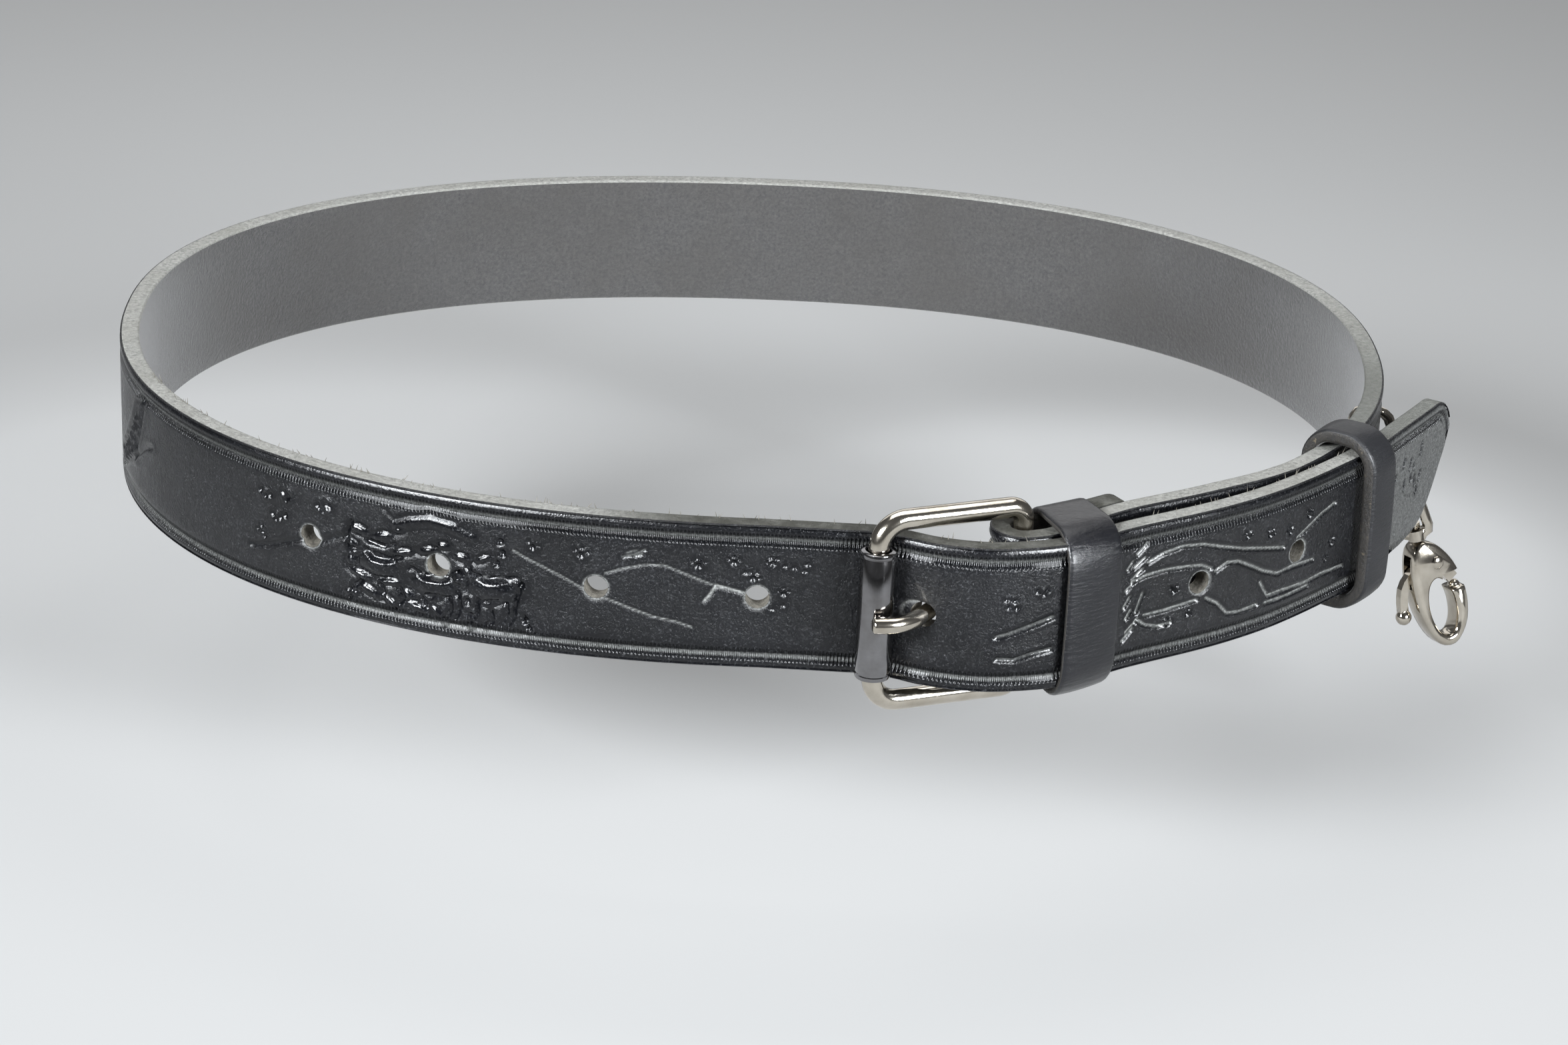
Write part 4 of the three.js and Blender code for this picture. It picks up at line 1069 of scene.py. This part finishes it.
def border_ticks(finish):
    """Fine ticks of the border wheel, on both sides of the creased line."""
    where, along, height = finish.strap_place()
    along = finish.math("ADD", along, finish.times(finish.noise(0.08, 1.0, 0.5, where=where), 0.004))
    wave = finish.math("SINE", finish.times(along, 2 * math.pi / 0.0062))
    line = (STRAP_HALF_WIDTH - BORDER_LINE) * MAP_SCALE
    off_line = finish.math("ABSOLUTE", finish.math("SUBTRACT", finish.math("ABSOLUTE", height), line))
    return finish.times(wave, finish.span(off_line, 0.006, 0.013, 1.0, 0.0))


def face_leather():
    """Black, waxed and tooled: fine grain, polished where pressed, pale in the worn cuts, with painted highlight
    along the border lines and grooves.
    """
    finish = Finish("tooled_black_leather")
    polish = finish.attribute("polish")
    wear_and_highlight = finish.attribute("wear_and_highlight")
    clouds = finish.noise(0.018, 4.0, 0.6)
    grain = finish.noise(0.00045, 5.0, 0.62)
    crease = finish.noise(0.0022, 4.0, 0.6, stretch=(1.0, 1.0, 0.6), distort=0.6)
    tone = finish.grade(clouds, 0.3, 0.7, (0.0012, 0.0013, 0.0017, 1), (0.003, 0.0032, 0.004, 1))
    # Pale specks on the grain: partly dust, partly painted glints standing in for light caught by the grain
    dust_and_glints = finish.times(finish.span(grain, 0.54, 0.74, 0, 0.4), finish.span(clouds, 0.35, 0.7, 0.2, 1))
    tone = finish.blend(dust_and_glints, tone, (0.1, 0.103, 0.11, 1))
    # Paler where worn, and a painted highlight where the pale line stands in for light off the border beads and
    # grooves
    scratch_and_highlight = finish.times(wear_and_highlight, finish.span(grain, 0.35, 0.6, 0.35, 1.0))
    matte = finish.times(finish.span(crease, 0.3, 0.75, 0.24, 0.36), finish.span(polish, 0.0, 0.9, 1.0, 0.42))
    unpolished = finish.span(polish, 0.0, 0.9, 1.0, 0.12)
    normal = finish.bump(finish.times(crease, unpolished), 0.00028, 0.7)
    normal = finish.bump(finish.times(grain, unpolished), 0.0002, 0.9, normal)
    normal = finish.bump(finish.cells(0.0006), 0.00008, 0.5, normal)
    return finish.done(
        Base_Color=finish.blend(scratch_and_highlight, tone, (0.23, 0.235, 0.225, 1)),
        Roughness=finish.math("ADD", matte, finish.times(scratch_and_highlight, 0.3)),
        Normal=finish.bump(border_ticks(finish), 0.00022, 1.0, normal),
        Specular_IOR_Level=0.3, Coat_Weight=0.06, Coat_Roughness=0.1,
    )


def edge_leather():
    """The cut edge: matte, greenish grey and fibrous, darker where it is waxed near the buckle."""
    finish = Finish("cut_leather_edge")
    fibre = finish.noise(0.0007, 5.0, 0.7, stretch=(1, 1, 2.5))
    clouds = finish.noise(0.012, 3.0, 0.6)
    tone = finish.grade(fibre, 0.3, 0.7, (0.09, 0.09, 0.084, 1), (0.24, 0.238, 0.222, 1))
    tone = finish.grade(clouds, 0.35, 0.7, tone, (0.12, 0.117, 0.102, 1), 0.5)
    _, along, _ = finish.strap_place()
    dark_end = finish.times(finish.span(along, 1.18, 1.27, 0, 0.7), finish.span(along, 1.6, 2.0, 1, 0))
    tone = finish.blend(dark_end, tone, (0.05, 0.052, 0.046, 1))
    to_buckle = finish.math("ABSOLUTE", finish.math("SUBTRACT", along, 0.22))
    patches = finish.span(finish.noise(0.003, 3.0, 0.6), 0.4, 0.75, 1.0, 0.7)
    waxed = finish.times(finish.span(to_buckle, 0.3, 0.48, 0.98, 0), patches)
    return finish.done(
        Base_Color=finish.blend(waxed, tone, (0.022, 0.0215, 0.017, 1)),
        Roughness=finish.span(fibre, 0.2, 0.8, 0.95, 0.75),
        Normal=finish.bump(fibre, 0.00035, 0.9),
        Specular_IOR_Level=0.25,
    )


def flesh_leather():
    """The strap's inner side: dyed suede."""
    finish = Finish("suede_inner_side")
    nap = finish.noise(0.0006, 6.0, 0.72)
    clouds = finish.noise(0.02, 4.0, 0.6)
    tone = finish.grade(nap, 0.3, 0.7, (0.017, 0.017, 0.018, 1), (0.05, 0.048, 0.046, 1))
    return finish.done(
        Base_Color=finish.grade(clouds, 0.35, 0.7, tone, (0.03, 0.028, 0.026, 1), 0.6),
        Roughness=finish.span(clouds, 0.3, 0.7, 0.82, 0.95),
        Normal=finish.bump(nap, 0.0003, 0.9),
        Specular_IOR_Level=0.2, Sheen_Weight=0.25, Sheen_Roughness=0.5,
    )


def raw_leather():
    """The wall of a punched hole: raw, pale tan and fibrous, its tone darkened with painted shade for the inside of
    the holes.
    """
    finish = Finish("raw_leather_wall")
    fibre = finish.noise(0.0006, 5.0, 0.7)
    return finish.done(
        # The raw tan is darkened as painted shade for the inside of the punched holes
        Base_Color=finish.grade(fibre, 0.3, 0.7, (0.04, 0.035, 0.027, 1), (0.14, 0.13, 0.108, 1)),
        Roughness=finish.span(fibre, 0.2, 0.8, 0.95, 0.8),
        Normal=finish.bump(fibre, 0.0003, 0.9),
    )


def keeper_leather(name, gloss):
    """A keeper's face: black, with fine creases along the belt."""
    finish = Finish(name)
    crease = finish.noise(0.0014, 6.0, 0.68, stretch=(0.4, 0.4, 2.4), distort=0.4)
    grain = finish.noise(0.0005, 5.0, 0.65)
    clouds = finish.noise(0.009, 3.0, 0.6)
    tone = finish.grade(clouds, 0.3, 0.7, (0.003, 0.0032, 0.004, 1), (0.006, 0.0062, 0.0075, 1))
    return finish.done(
        Base_Color=finish.grade(crease, 0.66, 0.84, tone, (0.04, 0.04, 0.042, 1), 0.2),
        Roughness=finish.span(crease, 0.3, 0.75, gloss, gloss + 0.12),
        Normal=finish.bump(grain, 0.00009, 0.7, finish.bump(crease, 0.0002, 0.7)),
        Specular_IOR_Level=0.34, Coat_Weight=0.1, Coat_Roughness=0.16,
    )


def keeper_edge():
    """A keeper's cut edge: dark brown, with a few pale fibres."""
    finish = Finish("raw_keeper_edge")
    fibre = finish.noise(0.0005, 5.0, 0.72, stretch=(1, 1, 0.5))
    specks = finish.noise(0.0014, 3.0, 0.6)
    tone = finish.grade(fibre, 0.35, 0.7, (0.004, 0.0036, 0.0032, 1), (0.014, 0.011, 0.008, 1))
    return finish.done(
        Base_Color=finish.grade(specks, 0.63, 0.74, tone, (0.17, 0.135, 0.085, 1), 0.4),
        Roughness=finish.span(fibre, 0.2, 0.8, 0.8, 0.4),
        Normal=finish.bump(fibre, 0.0003, 0.9),
    )


def nickel(name, tone, dark, rough):
    """Nickel plate with a soft haze and fine scuffs."""
    finish = Finish(name)
    haze = finish.noise(0.004, 4.0, 0.6)
    scuffs = finish.noise(0.0006, 5.0, 0.7, stretch=(1, 1, 0.25))
    hazy = finish.span(haze, 0.3, 0.75, rough, rough + 0.08)
    return finish.done(
        Base_Color=finish.grade(haze, 0.35, 0.7, tone, dark),
        Roughness=finish.math("ADD", hazy, finish.span(scuffs, 0.55, 0.75, 0, 0.1)),
        Normal=finish.bump(scuffs, 0.00002, 0.35),
        Metallic=1.0,
    )


# Putting it together

aim_camera()
lay_floor()
light_studio()

leather = {"face": face_leather(), "edge": edge_leather(), "flesh": flesh_leather(), "raw": raw_leather()}
# The nickel tint is a little darker than plain nickel, partly as a painted darker reflection of the surroundings
bright = nickel("bright_nickel", (0.56, 0.52, 0.45, 1), (0.42, 0.38, 0.32, 1), 0.1)
# The roller's nickel is darkened far below plain nickel as a painted dark reflection
mirror = nickel("roller_nickel_painted_dark_reflection", (0.25, 0.247, 0.255, 1), (0.17, 0.165, 0.165, 1), 0.07)

for strap_piece in (make_front(leather), make_tail(leather), make_loop(leather), make_fibres(leather["raw"])):
    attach(strap_piece, "belt")
    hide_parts("strap")

raw_edge = keeper_edge()
fixed = keeper_band("fixed_keeper", FIXED_BAND, fixed_inner_face)
dress(fixed, keeper_leather("polished_keeper", 0.16), raw_edge, leather["flesh"])
free = keeper_band("free_keeper", FREE_BAND, free_inner_face)
dress(free, keeper_leather("satin_keeper", 0.42), raw_edge, leather["flesh"])
for keeper, node in ((fixed, "keeper_fixed"), (free, "keeper_free")):
    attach(keeper, "belt")
    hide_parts(node)

shank, loop = make_tongue(bright)
metal_pieces = [
    (make_frame(bright), "belt", "buckle_frame"), (make_roller(mirror), "belt", "roller"),
    (shank, "belt", "tongue"), (loop, "belt", "tongue"),
    (copy_of_node("hook_shell", "hook_body", bright), "hook", "hook_body"),
    (copy_of_node("gate_arm", "gate_lever", bright), "gate", "gate_lever"),
    (copy_of_node("eye_and_boss", "swivel_eye", bright), "belt", "swivel_eye"),
]
for metal_piece, body, node in metal_pieces:
    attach(metal_piece, body)
    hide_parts(node)
